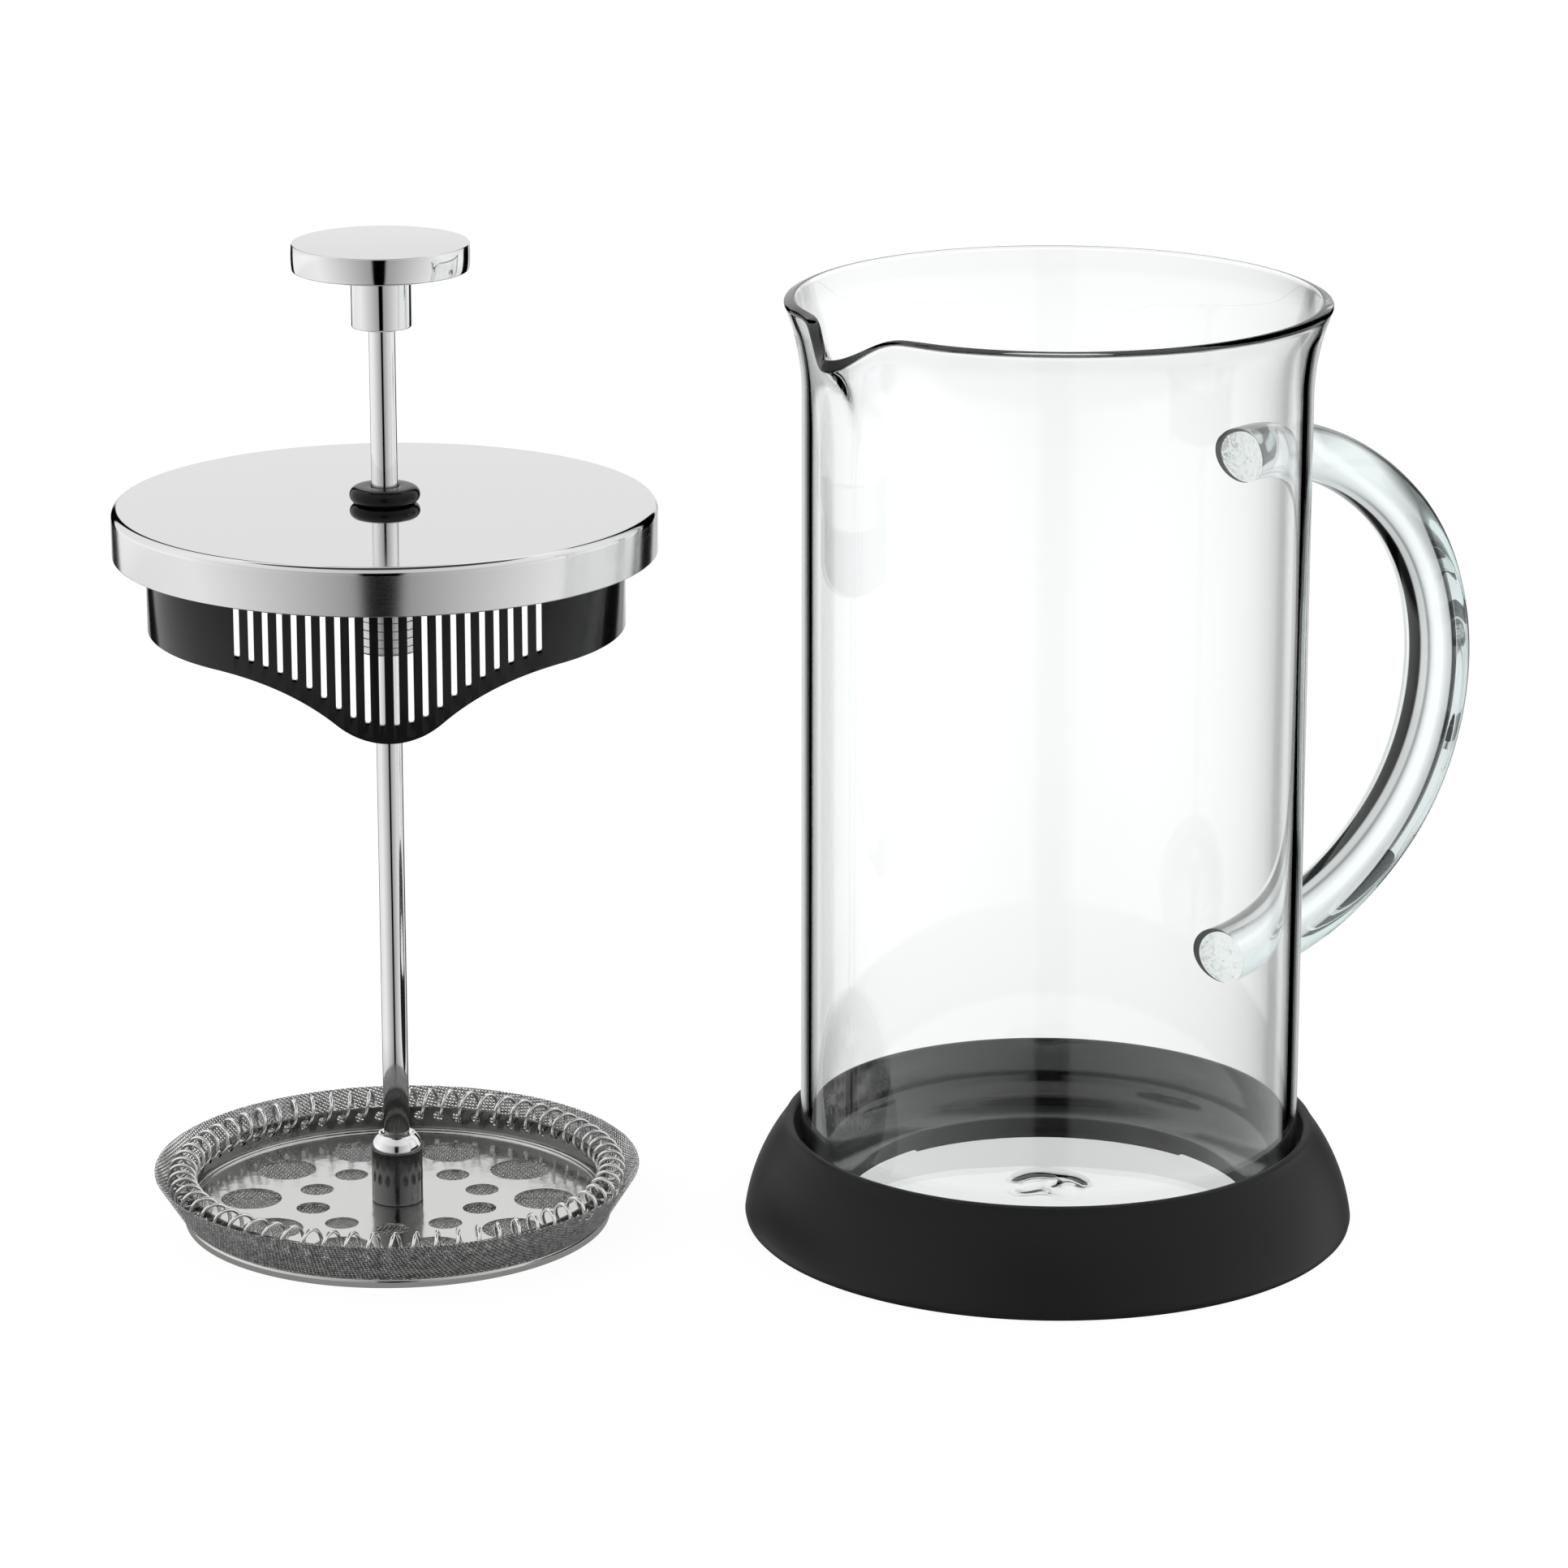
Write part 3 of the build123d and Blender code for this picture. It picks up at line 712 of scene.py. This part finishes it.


# Spring plate
# The upper plate of the filter: a shallow dish stamped from bright sheet, with two rings of holes in its
# floor and a row of small ones in its wall, one for each coil of the spring. A pressed bead runs round the
# floor. The wall's base colour is painted darker than the floor's, as painted shade and reflection of the
# coils.
plate_low, plate_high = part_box("spring_plate")
plate_r = (plate_high.x - plate_low.x) / 2
plate_sheet = 0.6 * mm
plate_floor = plate_low.z + plate_sheet
plate_wall = 0.5 * mm
plate_bend = 0.9 * mm
plate_inner_bend = 0.4 * mm
plate_edge = 0.2 * mm
bead_r = 0.45 * mm
bead_rise = 0.9 * bead_r
bead_middle = plate_r - plate_wall - 2 * bead_r
large_hole_r = 5.9 * mm
large_circle_r = 28.5 * mm
small_hole_r = 3.25 * mm
small_circle_r = 16.95 * mm
holes_each = 10
hole_deep = 4.0 * mm
coil_count = 65
lace_hole_r = 1.0 * mm
lace_hole_deep = 3.0 * mm
lace_z = 6.01 * mm
lace_turn = 0.8  # where a coil crosses the wall, in shares of a coil
front = -pi / 2
# the wall's base colour: painted shade and reflection of the coils
wall_painted_shade = (0.16, 0.16, 0.155)

plate_outline = rounded(
    [
        (rod_hole_r, plate_low.z),
        (plate_r, plate_low.z, plate_bend),
        (plate_r, plate_high.z, plate_edge),
        (plate_r - plate_wall, plate_high.z, plate_edge),
        (plate_r - plate_wall, plate_floor, plate_inner_bend),
        *bowed((bead_middle + bead_r, plate_floor), (bead_middle - bead_r, plate_floor), bead_rise),
        (rod_hole_r, plate_floor),
    ]
)
plate = turned("stamped_plate", plunger_middle, [*plate_outline, plate_outline[0]], 195)


def around(distance, angle, height):
    """A point round the plunger's upright line."""
    return plunger_middle + Vector((distance * cos(angle), distance * sin(angle), height))


drills = []
for hole in range(holes_each):
    hole_turn = front + 2 * pi * hole / holes_each
    small_hole = around(small_circle_r, hole_turn, plate_floor)
    large_hole = around(large_circle_r, hole_turn + pi / holes_each, plate_floor)
    drills.append(drill(small_hole_r, hole_deep, small_hole))
    drills.append(drill(large_hole_r, hole_deep, large_hole))
for coil in range(coil_count):
    coil_turn = 2 * pi * (coil + lace_turn) / coil_count
    lace_hole = around(plate_r, coil_turn, lace_z)
    drills.append(drill(lace_hole_r, lace_hole_deep, lace_hole, (0, pi / 2, coil_turn), 16))
drilled(plate, drills)
smoothed(plate, 30)


def between(value, start, end, first=0.0, last=1.0):
    """Goes from first to last as the value goes from start to end, and stays there beyond them."""
    span = {"From Min": start, "From Max": end, "To Min": first, "To Max": last}
    return value.node("MapRange", {}, {"Value": value, **span})


shaded_dish_steel = plate_steel.copy()
shaded_dish_steel.name = "shaded_dish_steel"
dish_nodes = shaded_dish_steel.node_tree.nodes
place = Socket(shaded_dish_steel.node_tree, dish_nodes["Texture Coordinate"].outputs["Object"])
# painted shade and reflection: the dish's wall gets a darker base colour than its floor
wall_shade_share = between(along(place, "Z"), plate_floor, plate_floor + mm)
mixed(place, wall_shade_share, sheet_grey, wall_painted_shade).into(dish_nodes["Principled BSDF"], "Base Color")
fitted(plate, "plunger", "plate_steel", shaded_dish_steel, "spring_plate")


# Coil spring
# One long coil of bright spring wire, bent round the dish with its ends side by side. Each coil passes
# through a hole in the dish's wall and leans on the screen, which it keeps pressed against the glass.
wire_r = 0.375 * mm
loop_r = 2.6 * mm
loop_circle_r = 41.68 * mm
loop_z = 8.4 * mm
points_per_coil = 28
end_gap = 0.5  # between the two ends, in coils
spring_steps = round((coil_count - end_gap) * points_per_coil)
wire_dull = (0.85, 0.85, 0.84)
wire_bright = (0.97, 0.97, 0.96)

line = bpy.data.curves.new("spring_wire", "CURVE")
line.dimensions = "3D"
line.bevel_depth = wire_r
line.bevel_resolution = 2
line.use_fill_caps = True
wire = line.splines.new("POLY")
wire.points.add(spring_steps)
for step, point in enumerate(wire.points):
    loop = 2 * pi * step / points_per_coil
    spot = around(loop_circle_r + loop_r * cos(loop), loop / coil_count, loop_z + loop_r * sin(loop))
    point.co = (*spot, 1)
spring = bpy.data.objects.new("laced_spring", line)
bpy.context.scene.collection.objects.link(spring)
picked(spring)
bpy.ops.object.convert(target="MESH")
smoothed(spring, 60)

spring_steel, shader, place = new_finish("drawn_wire", {"Metallic": 1.0})
draw_marks = noise(place, 900, 2)
mixed(place, draw_marks, wire_dull, wire_bright).into(shader, "Base Color")
(0.08 + 0.1 * draw_marks).into(shader, "Roughness")
fitted(spring, "plunger", "spring_steel", spring_steel, "coil_spring")


# Hub nut
# A domed steel nut, turned and polished, that screws down on the stud and clamps the filter. Its top is
# recessed round the rod, and its side has a much darker base colour than its dome: painted dark
# reflection.
hub_low, hub_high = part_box("hub_nut")
hub_r = (hub_high.x - hub_low.x) / 2
hub_shoulder = 3.1 * mm
hub_crown = 1.4 * mm
hub_recess = 0.7 * mm
hub_foot_round = 0.35 * mm
hub_edge = 0.2 * mm
hub_bend = (hub_crown**2 + hub_shoulder**2) / (2 * hub_crown)
hub_rows = 10
hub_foot = hub_high.z - hub_shoulder
hub_side_painted_dark = (0.17, 0.17, 0.17)
hub_bright = (0.92, 0.92, 0.92)

hub_curve = []
for row in range(hub_rows):
    rise = hub_shoulder * row / hub_rows
    hub_curve.append((hub_r - hub_bend + sqrt(hub_bend**2 - rise**2), hub_foot + rise))
hub_outline = rounded(
    [
        (rod_hole_r, hub_low.z),
        (hub_r, hub_low.z, hub_foot_round),
        *hub_curve,
        (hub_r - hub_crown, hub_high.z, hub_edge),
        (rod_hole_r + hub_recess, hub_high.z, hub_edge),
        (rod_hole_r, hub_high.z - hub_recess),
    ]
)
hub = turned("domed_hub", plunger_middle, [*hub_outline, hub_outline[0]], 96)
smoothed(hub, 40)

hub_steel, shader, place = new_finish("turned_steel", {"Metallic": 1.0})
# painted dark reflection: the side below the dome gets a dark base colour
on_dome = place.maths("GREATER_THAN", along(place, "Z"), hub_foot)
mixed(place, on_dome, hub_side_painted_dark, hub_bright).into(shader, "Base Color")
tooling = noise(place, 400, 3, (0.4, 0.4, 12))
(0.07 + 0.06 * tooling).into(shader, "Roughness")
bump(place, tooling, 0.01 * mm, 0.3).into(shader, "Normal")
fitted(hub, "plunger", "polished_steel", hub_steel, "hub_nut")


# Plunger rod
# Drawn and polished stainless bar that runs from the hub nut through the lid up to the knob. Its foot is
# painted darker: a painted reflection of the dark screen and spring round it.
rod_low, rod_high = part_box("plunger_rod")
rod_r = (rod_high.x - rod_low.x) / 2
rod_foot_round = 0.3 * mm
rod_top_round = 0.1 * mm
# the painted dark reflection at the rod's foot fades out up to this height
painted_reflection_top = 36 * mm  # where the dull foot of the rod fades into the polish
steel_bright = (0.83, 0.83, 0.835)
rod_foot_painted_dark = (0.3, 0.3, 0.3)

rod_outline = rounded(
    [
        (0, rod_low.z),
        (rod_r, rod_low.z, rod_foot_round),
        (rod_r, rod_high.z, rod_top_round),
        (0, rod_high.z),
    ]
)
rod = turned("polished_rod", plunger_middle, rod_outline, 96)
smoothed(rod, 40)

polished_steel, shader, place = new_finish("polished_steel", {"Metallic": 1.0})
# painted reflection: the rod's base colour darkens towards its foot
foot_reflection_share = between(along(place, "Z"), hub_high.z, painted_reflection_top, 1.0, 0.0)
mixed(place, foot_reflection_share, steel_bright, rod_foot_painted_dark).into(shader, "Base Color")
buffing = noise(place, 260, 4, (1, 1, 9))
haze = noise(place, 55, 2)
(0.035 + 0.03 * haze + 0.02 * buffing).into(shader, "Roughness")
bump(place, buffing, 0.01 * mm, 0.05).into(shader, "Normal")
fitted(rod, "plunger", "polished_steel", polished_steel, "plunger_rod")


# Guide bush
# A turned metal sleeve with fine grooves, set in the lid and open to the rod. It keeps the lid square to
# the rod as it slides.
bush_low, bush_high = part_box("guide_bush")
bush_r = 6.2 * mm
bush_neck_r = 4.1 * mm
bush_flare_r = (bush_high.x - bush_low.x) / 2
bush_seat_z = 139.8 * mm
bush_flare_rise = 3.0 * mm
bush_flare_bend = 1.0 * mm
bush_bevel = 0.6 * mm
band_count = 8
band_pitch = 1.6 * mm
band_depth = 0.25 * mm
band_first = bush_low.z + 2 * bush_bevel + 0.25 * band_pitch
bush_dull = (0.62, 0.62, 0.61)
bush_bright = (0.8, 0.8, 0.79)

bands = []
for band in range(band_count):
    low = band_first + band * band_pitch
    high = low + band_pitch / 2
    bands += [(bush_r, low), (bush_r - band_depth, low), (bush_r - band_depth, high), (bush_r, high)]
bush_outline = rounded(
    [
        (rod_hole_r, bush_low.z),
        (bush_r, bush_low.z, bush_bevel),
        *bands,
        (bush_r, bush_seat_z - bush_flare_rise, bush_flare_bend),
        (bush_flare_r, bush_seat_z),
        (bush_neck_r, bush_seat_z),
        (bush_neck_r, bush_high.z),
        (rod_hole_r, bush_high.z),
    ]
)
bush = turned("grooved_bush", plunger_middle, [*bush_outline, bush_outline[0]], 96)
smoothed(bush, 40)

bush_metal, shader, place = new_finish("turned_metal", {"Metallic": 1.0})
tooling = noise(place, 300, 2, (0.5, 0.5, 40))
mixed(place, tooling, bush_dull, bush_bright).into(shader, "Base Color")
(0.22 + 0.14 * tooling).into(shader, "Roughness")
bump(place, tooling, 0.03 * mm, 0.5).into(shader, "Normal")
fitted(bush, "lid_guide", "bush_metal", bush_metal, "guide_bush")


# Strainer collar
# A gloss black moulding pressed up into the lid. Its wall hangs in the mouth of the jug, and its front
# drops in a lobe with a comb of slots that holds the grounds back when it is turned to the spout.
collar_low, collar_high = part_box("strainer_collar")
collar_r = 45.2 * mm
collar_wall = 1.8 * mm
flange_r = (collar_high.x - collar_low.x) / 2
flange_thick = 1.8 * mm
flange_foot_round = 0.3 * mm
flange_top_round = 0.8 * mm
flange_bottom = collar_high.z - flange_thick
lobe_short = 1.3 * mm  # how far the lobe ends above the solid's
lobe_tip = collar_low.z + lobe_short
lobe_drop = 11.2 * mm
lobe_half_width = 32.0 * mm
lobe_nose = 15.5 * mm
collar_bottom = lobe_tip + lobe_drop
lobe_lean = 2 * atan2(lobe_drop, lobe_half_width)
lobe_shoulder = lobe_half_width / sin(lobe_lean) - lobe_nose
lean_x = lobe_nose * sin(lobe_lean)
lobe_turn = radians(4)  # from straight ahead, towards the jug
lid_low, lid_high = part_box("lid_cap")
slot_count = 22
slot_pitch = 2.64 * mm
slot_width = 1.05 * mm
slot_land = 3.1 * mm  # between the end of a slot and the edge
slot_hidden = 1.2 * mm  # behind the lid's skirt
slot_top = lid_low.z + slot_hidden
slot_deep = 30.0 * mm  # the cutter's depth, enough for the lobe's bend
slot_back = 5.0 * mm
collar_sides = 480
collar_eased = 0.22 * mm
bush_play = 0.05 * mm
flange_bore_r = bush_neck_r + bush_play
plastic_black = (0.004, 0.004, 0.0045)
plastic_grey = (0.008, 0.008, 0.0085)


def collar_edge(across):
    """Lower edge of the front of the wall: a round nose that runs out in a curve to either side."""
    across = abs(across)
    if across < lean_x:
        return lobe_tip + lobe_nose - sqrt(lobe_nose**2 - across**2)
    if across < lobe_half_width:
        return collar_bottom - lobe_shoulder + sqrt(lobe_shoulder**2 - (lobe_half_width - across) ** 2)
    return collar_bottom


bpy.ops.object.select_all(action="DESELECT")
collar_top = plunger_middle + Vector((0, 0, flange_bottom))
bpy.ops.mesh.primitive_circle_add(vertices=collar_sides, radius=collar_r, location=collar_top)
collar = bpy.context.object
collar.name = "slotted_collar"
bpy.ops.object.transform_apply()
bpy.ops.object.mode_set(mode="EDIT")
bpy.ops.mesh.extrude_edges_move(TRANSFORM_OT_translate={"value": (0, 0, collar_bottom - flange_bottom)})
bpy.ops.object.mode_set(mode="OBJECT")
for vertex in collar.data.vertices:
    spot = vertex.co - plunger_middle
    if spot.z < flange_bottom - mm and spot.y < 0:
        vertex.co.z = collar_edge(spot.x)
bpy.ops.object.mode_set(mode="EDIT")
bpy.ops.mesh.select_all(action="SELECT")
bpy.ops.mesh.normals_make_consistent(inside=False)
bpy.ops.object.mode_set(mode="OBJECT")
outward_face = collar.data.polygons[0]
if outward_face.normal.dot(outward_face.center - plunger_middle) < 0:
    collar.data.flip_normals()
moulding = collar.modifiers.new("wall", "SOLIDIFY")
moulding.thickness = collar_wall
moulding.offset = -1

cutters = []
for slot in range(slot_count):
    slot_x = (slot - (slot_count - 1) / 2) * slot_pitch
    slot_end = collar_edge(slot_x) + slot_land + slot_width / 2
    slot_foot = plunger_middle + Vector((slot_x, slot_back - collar_r, slot_end))
    cutter = drill(slot_width / 2, slot_deep, slot_foot, (pi / 2, 0, 0), 24)
    for vertex in cutter.data.vertices:
        if vertex.co.z > slot_end:
            vertex.co.z += slot_top - slot_width / 2 - slot_end
    cutters.append(cutter)
applied(collar)
drilled(collar, cutters)
eased = collar.modifiers.new("eased_edges", "BEVEL")
eased.width = collar_eased
eased.segments = 2
eased.limit_method = "ANGLE"
eased.angle_limit = radians(40)
applied(collar)
smoothed(collar, 35)
flange = turned(
    "flange",
    plunger_middle,
    rounded(
        [
            (flange_bore_r, flange_bottom),
            (flange_r, flange_bottom, flange_foot_round),
            (flange_r, collar_high.z, flange_top_round),
            (flange_bore_r, collar_high.z),
            (flange_bore_r, flange_bottom),
        ]
    ),
)
smoothed(flange, 35)
picked(collar, flange)
bpy.ops.object.join()
to_axis = Matrix.Translation(plunger_middle)
collar.data.transform(to_axis @ Matrix.Rotation(lobe_turn, 4, "Z") @ to_axis.inverted())

black_plastic, shader, place = new_finish("gloss_black", {"Specular IOR Level": 0.2})
skin = noise(place, 140, 2)
mixed(place, skin, plastic_black, plastic_grey).into(shader, "Base Color")
(0.09 + 0.07 * skin).into(shader, "Roughness")
bump(place, skin, 0.02 * mm, 0.3).into(shader, "Normal")
fitted(collar, "lid", "black_plastic", black_plastic, "strainer_collar")


# Lid cap
# Drawn from stainless sheet: a flat polished top, a tight rounded edge, and a short skirt with a fine
# turned finish, whose base colour is painted darker than the top's as painted shade. The collar is pressed
# into it from below.
lid_r = (lid_high.x - lid_low.x) / 2
lid_sheet = 0.7 * mm
lid_edge = 1.5 * mm
lid_hole_r = flange_bore_r
lid_hem_round = 0.25 * mm
skirt_painted_shade = (0.77, 0.77, 0.77)

lid_outline = rounded(
    [
        (lid_hole_r, lid_high.z),
        (lid_r, lid_high.z, lid_edge),
        (lid_r, lid_low.z, lid_hem_round),
        (lid_r - lid_sheet, lid_low.z, lid_hem_round),
        (lid_r - lid_sheet, lid_high.z - lid_sheet, lid_edge - lid_sheet),
        (lid_hole_r, lid_high.z - lid_sheet),
    ],
    8,
)
lid = turned("drawn_lid", plunger_middle, [*lid_outline, lid_outline[0]], 240)
smoothed(lid, 35)

lid_steel, shader, place = new_finish("lid_steel", {"Metallic": 1.0})
on_side = place.maths("LESS_THAN", along(place, "Z"), lid_high.z - lid_edge)
lines = noise(place, 420, 4, (0.5, 0.5, 30))
haze = noise(place, 30, 2)
# the skirt's darker base colour is painted shade
mixed(place, on_side, steel_bright, skirt_painted_shade).into(shader, "Base Color")
(0.045 + 0.025 * haze + on_side * (0.05 + 0.08 * lines)).into(shader, "Roughness")
bump(place, lines * (0.08 + 0.92 * on_side), 0.01 * mm, 0.3).into(shader, "Normal")
fitted(lid, "lid", "lid_steel", lid_steel, "lid_cap")


# Rod grommet
# A glossy black ring, half round, that sits on the lid where the rod comes out and holds it by its grip.
grommet_low, grommet_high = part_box("rod_grommet")
grommet_r = (grommet_high.x - grommet_low.x) / 2
grommet_round = 1.5 * mm
grommet_bore_round = 0.4 * mm
grommet_flat = grommet_r - grommet_round
grommet_outline = [
    (rod_hole_r, grommet_low.z),
    *bowed((grommet_flat, grommet_low.z), (grommet_flat, grommet_high.z), grommet_round, 14),
    *rounded(
        [
            (grommet_flat, grommet_high.z),
            (rod_hole_r, grommet_high.z, grommet_bore_round),
            (rod_hole_r, grommet_low.z),
        ]
    ),
]
grommet = turned("rod_ring", plunger_middle, grommet_outline, 96)
smoothed(grommet, 40)
fitted(grommet, "lid_guide", "black_plastic", black_plastic, "rod_grommet")


# Knob neck
# A short polished ferrule under the knob, pushed over the end of the rod.
neck_low, neck_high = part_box("knob_neck")
neck_r = (neck_high.x - neck_low.x) / 2
neck_round = 0.4 * mm
neck_bore_round = 0.2 * mm
neck_outline = rounded(
    [
        (rod_hole_r, neck_high.z),
        (neck_r, neck_high.z),
        (neck_r, neck_low.z, neck_round),
        (rod_hole_r, neck_low.z, neck_bore_round),
    ]
)
neck = turned("knob_ferrule", plunger_middle, [*neck_outline, neck_outline[0]], 96)
smoothed(neck, 40)
fitted(neck, "plunger", "polished_steel", polished_steel, "knob_neck")


# Knob
# A thick polished steel disc, turned with a bulging edge, that the palm presses on.
knob_low, knob_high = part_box("knob_disc")
knob_r = (knob_high.x - knob_low.x) / 2
knob_bulge = 0.15 * mm
knob_flat = knob_r - knob_bulge
knob_round = 0.25 * mm
knob_edge = bowed((knob_flat, knob_low.z), (knob_flat, knob_high.z), knob_bulge, 12)
knob_outline = rounded(
    [
        (0, knob_low.z),
        (knob_flat, knob_low.z, knob_round),
        *knob_edge[2:-2],
        (knob_flat, knob_high.z, knob_round),
        (0, knob_high.z),
    ]
)
knob = turned("polished_knob", plunger_middle, knob_outline, 160)
smoothed(knob, 40)
fitted(knob, "plunger", "polished_steel", polished_steel, "knob_disc")


# Camera
# A long lens in front of the middle of the press, higher than the knob and tilted down.
lens_spot = Vector((-0.00563, -1.12883, 0.410))
lens_tilt = radians(16.086)  # below level
camera_data = bpy.data.cameras.new("camera")
camera_data.sensor_width = 36
camera_data.lens = 140.18
camera = bpy.data.objects.new("camera", camera_data)
bpy.context.scene.collection.objects.link(camera)
camera.location = lens_spot
camera.rotation_euler = (pi / 2 - lens_tilt, 0, 0)
bpy.context.scene.camera = camera


# Studio
# A pale table that glows a little, and a tent of white cloth that stands round the camera, so that it is
# the same from every side. Its black slit for the lens and the black flag at either side of its back draw
# the edges of the glass and the polished steel.
table_r = 8
table_glow = 0.93
table_matt = (0.13, 0.13, 0.13, 1)
card_r = 0.06
card_depth = 0.5 * mm  # below the table
card_glow = 0.3
patch_rise = 0.2 * mm  # above the table
patch_glow = 0.93
tent_distance = 1.2  # from the lens to the tent's middle
tent_radius = 2.6
tent_height = 9.2
slit = 7.5  # degrees to either side of the lens
slit_edge = 3.0
slit_fade = (1.2, 1.6)  # the heights between which the slit ends
beside_slit = 0.42
flag_right = (137.0, 156.0)  # degrees round from the lens
flag_left = (146.0, 160.0)
flag_edge = 2.0
abeam = 85.0
abeam_glow = 1.12
upper_start = -0.07  # the heights between which the lower cloth passes into the upper
upper_end = 0.41
upper_glow = 0.86
over_lens = 0.7  # the upper cloth above the slit
belly_y = 0.09  # the height of the brightest cloth, from the lens's line
belly_fall = 1.6
belly_least = 0.88
hem = (-1.9, -1.4)  # the heights between which the cloth darkens
hem_glow = 0.1
overhead_glow = 0.05


def stage_finish(name):
    """An empty material, the place of a point on the stage piece, and the material's output."""
    material = bpy.data.materials.new(name)
    material.use_nodes = True
    tree = material.node_tree
    tree.nodes.clear()
    place = Socket(tree, tree.nodes.new("ShaderNodeTexCoord").outputs["Object"])
    out = tree.nodes.new("ShaderNodeOutputMaterial")
    return material, place, out


def staged(piece, name, material, unseen_by):
    """Names a stage piece, gives it its material and hides it from the named rays."""
    piece.name = name
    piece.data.materials.append(material)
    for rays in unseen_by:
        setattr(piece, "visible_" + rays, False)


def disc(radius, spot):
    """A flat round sheet."""
    bpy.ops.object.select_all(action="DESELECT")
    bpy.ops.mesh.primitive_circle_add(vertices=64, radius=radius, fill_type="NGON", location=spot)
    return bpy.context.object


def glowing(place, strength):
    """White light of this strength."""
    return place.node("Emission", {}, {"Color": (1, 1, 1, 1), "Strength": strength})


table_white, place, out = stage_finish("table_white")
matt = place.node("BsdfDiffuse", {}, {"Color": table_matt})
place.node("AddShader", {}, {0: glowing(place, table_glow), 1: matt}).into(out, "Surface")
staged(disc(table_r, (0, 0, 0)), "table", table_white, ("glossy", "transmission"))

# A card under the filter, seen only in its steel
card_grey, place, out = stage_finish("card_grey")
glowing(place, card_glow).into(out, "Surface")
card = disc(card_r, plunger_middle - Vector((0, 0, card_depth)))
staged(card, "card", card_grey, ("camera", "diffuse", "transmission", "shadow"))

# A patch inside the base, seen only through the glass
patch_white, place, out = stage_finish("patch_white")
glowing(place, patch_glow).into(out, "Surface")
patch = disc(base_opening_r, jug_middle + Vector((0, 0, patch_rise)))
staged(patch, "patch", patch_white, ("camera", "diffuse", "glossy", "shadow"))

bpy.ops.mesh.primitive_cylinder_add(
    vertices=180, radius=tent_radius, depth=tent_height, end_fill_type="NOTHING", rotation=(pi / 2, 0, 0)
)
tent = bpy.context.object
bpy.ops.object.transform_apply()
tent.parent = camera
tent.location = (0, 0, -tent_distance)

tent_white, place, out = stage_finish("tent_white")
tent_y = along(place, "Y")
tent_z = along(place, "Z")
round_tent = 0.5 + place.maths("ARCTAN2", along(place, "X"), tent_z) / (2 * pi)


def shaded(shades):
    """A shade that changes round the tent, given at degrees from the lens, the left ones negative."""
    stops = [(0.5 + degrees / 360, shade) for degrees, shade in shades]
    return round_tent.node("ValToRGB", {"stops": stops}, {"Fac": round_tent})


left_side = [
    (-flag_left[1] - flag_edge, 1),
    (-flag_left[1], 0),
    (-flag_left[0], 0),
    (-flag_left[0] + flag_edge, 1),
    (-abeam, abeam_glow),
]
lens_side = [
    (-slit - slit_edge, beside_slit),
    (-slit, 0),
    (slit, 0),
    (slit + slit_edge, beside_slit),
]
right_side = [
    (abeam, abeam_glow),
    (flag_right[0] - flag_edge, 1),
    (flag_right[0], 0),
    (flag_right[1], 0),
    (flag_right[1] + flag_edge, 1),
]
lower_cloth = shaded([*left_side, *lens_side, *right_side])
upper_cloth = shaded([*left_side, (0, over_lens), *right_side])

# Folds at the back of the tent, which draw soft lines inside the edges of the glass
folds = shaded(
    [
        (-178, 1.12),
        (-174.6, 0.95),
        (-167, 0.72),
        (-flag_left[1], 0.6),
        (-flag_left[0], 1),
        (flag_right[0], 1),
        (flag_right[1], 0.7),
        (164.5, 0.76),
        (165.5, 0.4),
        (168, 0.4),
        (169, 0.78),
        (172, 1),
        (175, 1.12),
    ]
)
level = lens_spot.z + tent_y * cos(lens_tilt) + (tent_z - tent_distance) * sin(lens_tilt)
upper = between(level, upper_start, upper_end)
past_slit = between(level, *slit_fade)
above_hem = between(level, *hem, hem_glow, 1.0)
belly = place.maths("MAXIMUM", 1 - belly_fall * (tent_y - belly_y) * (tent_y - belly_y), belly_least)
lower_light = (1 - upper) * lower_cloth * folds * belly
upper_light = upper_glow * ((upper - past_slit) * lower_cloth + past_slit * upper_cloth)
glowing(place, above_hem * (lower_light + upper_light)).into(out, "Surface")
tent_white.cycles.emission_sampling = "NONE"
staged(tent, "tent", tent_white, ("camera", "diffuse", "shadow"))

# White all round, and dark under the table and overhead
sky = bpy.data.worlds.new("white_sky")
sky.use_nodes = True
way = Socket(sky.node_tree, sky.node_tree.nodes.new("ShaderNodeTexCoord").outputs["Generated"])
sky_stops = [(0.08, hem_glow), (0.2, 1), (0.92, 1), (0.95, overhead_glow)]
sky_white = way.node("ValToRGB", {"stops": sky_stops}, {"Fac": 0.5 + 0.5 * along(way, "Z")})
sky_white.into(sky.node_tree.nodes["Background"], "Color")
bpy.context.scene.world = sky
bpy.context.scene.view_settings.view_transform = "Standard"
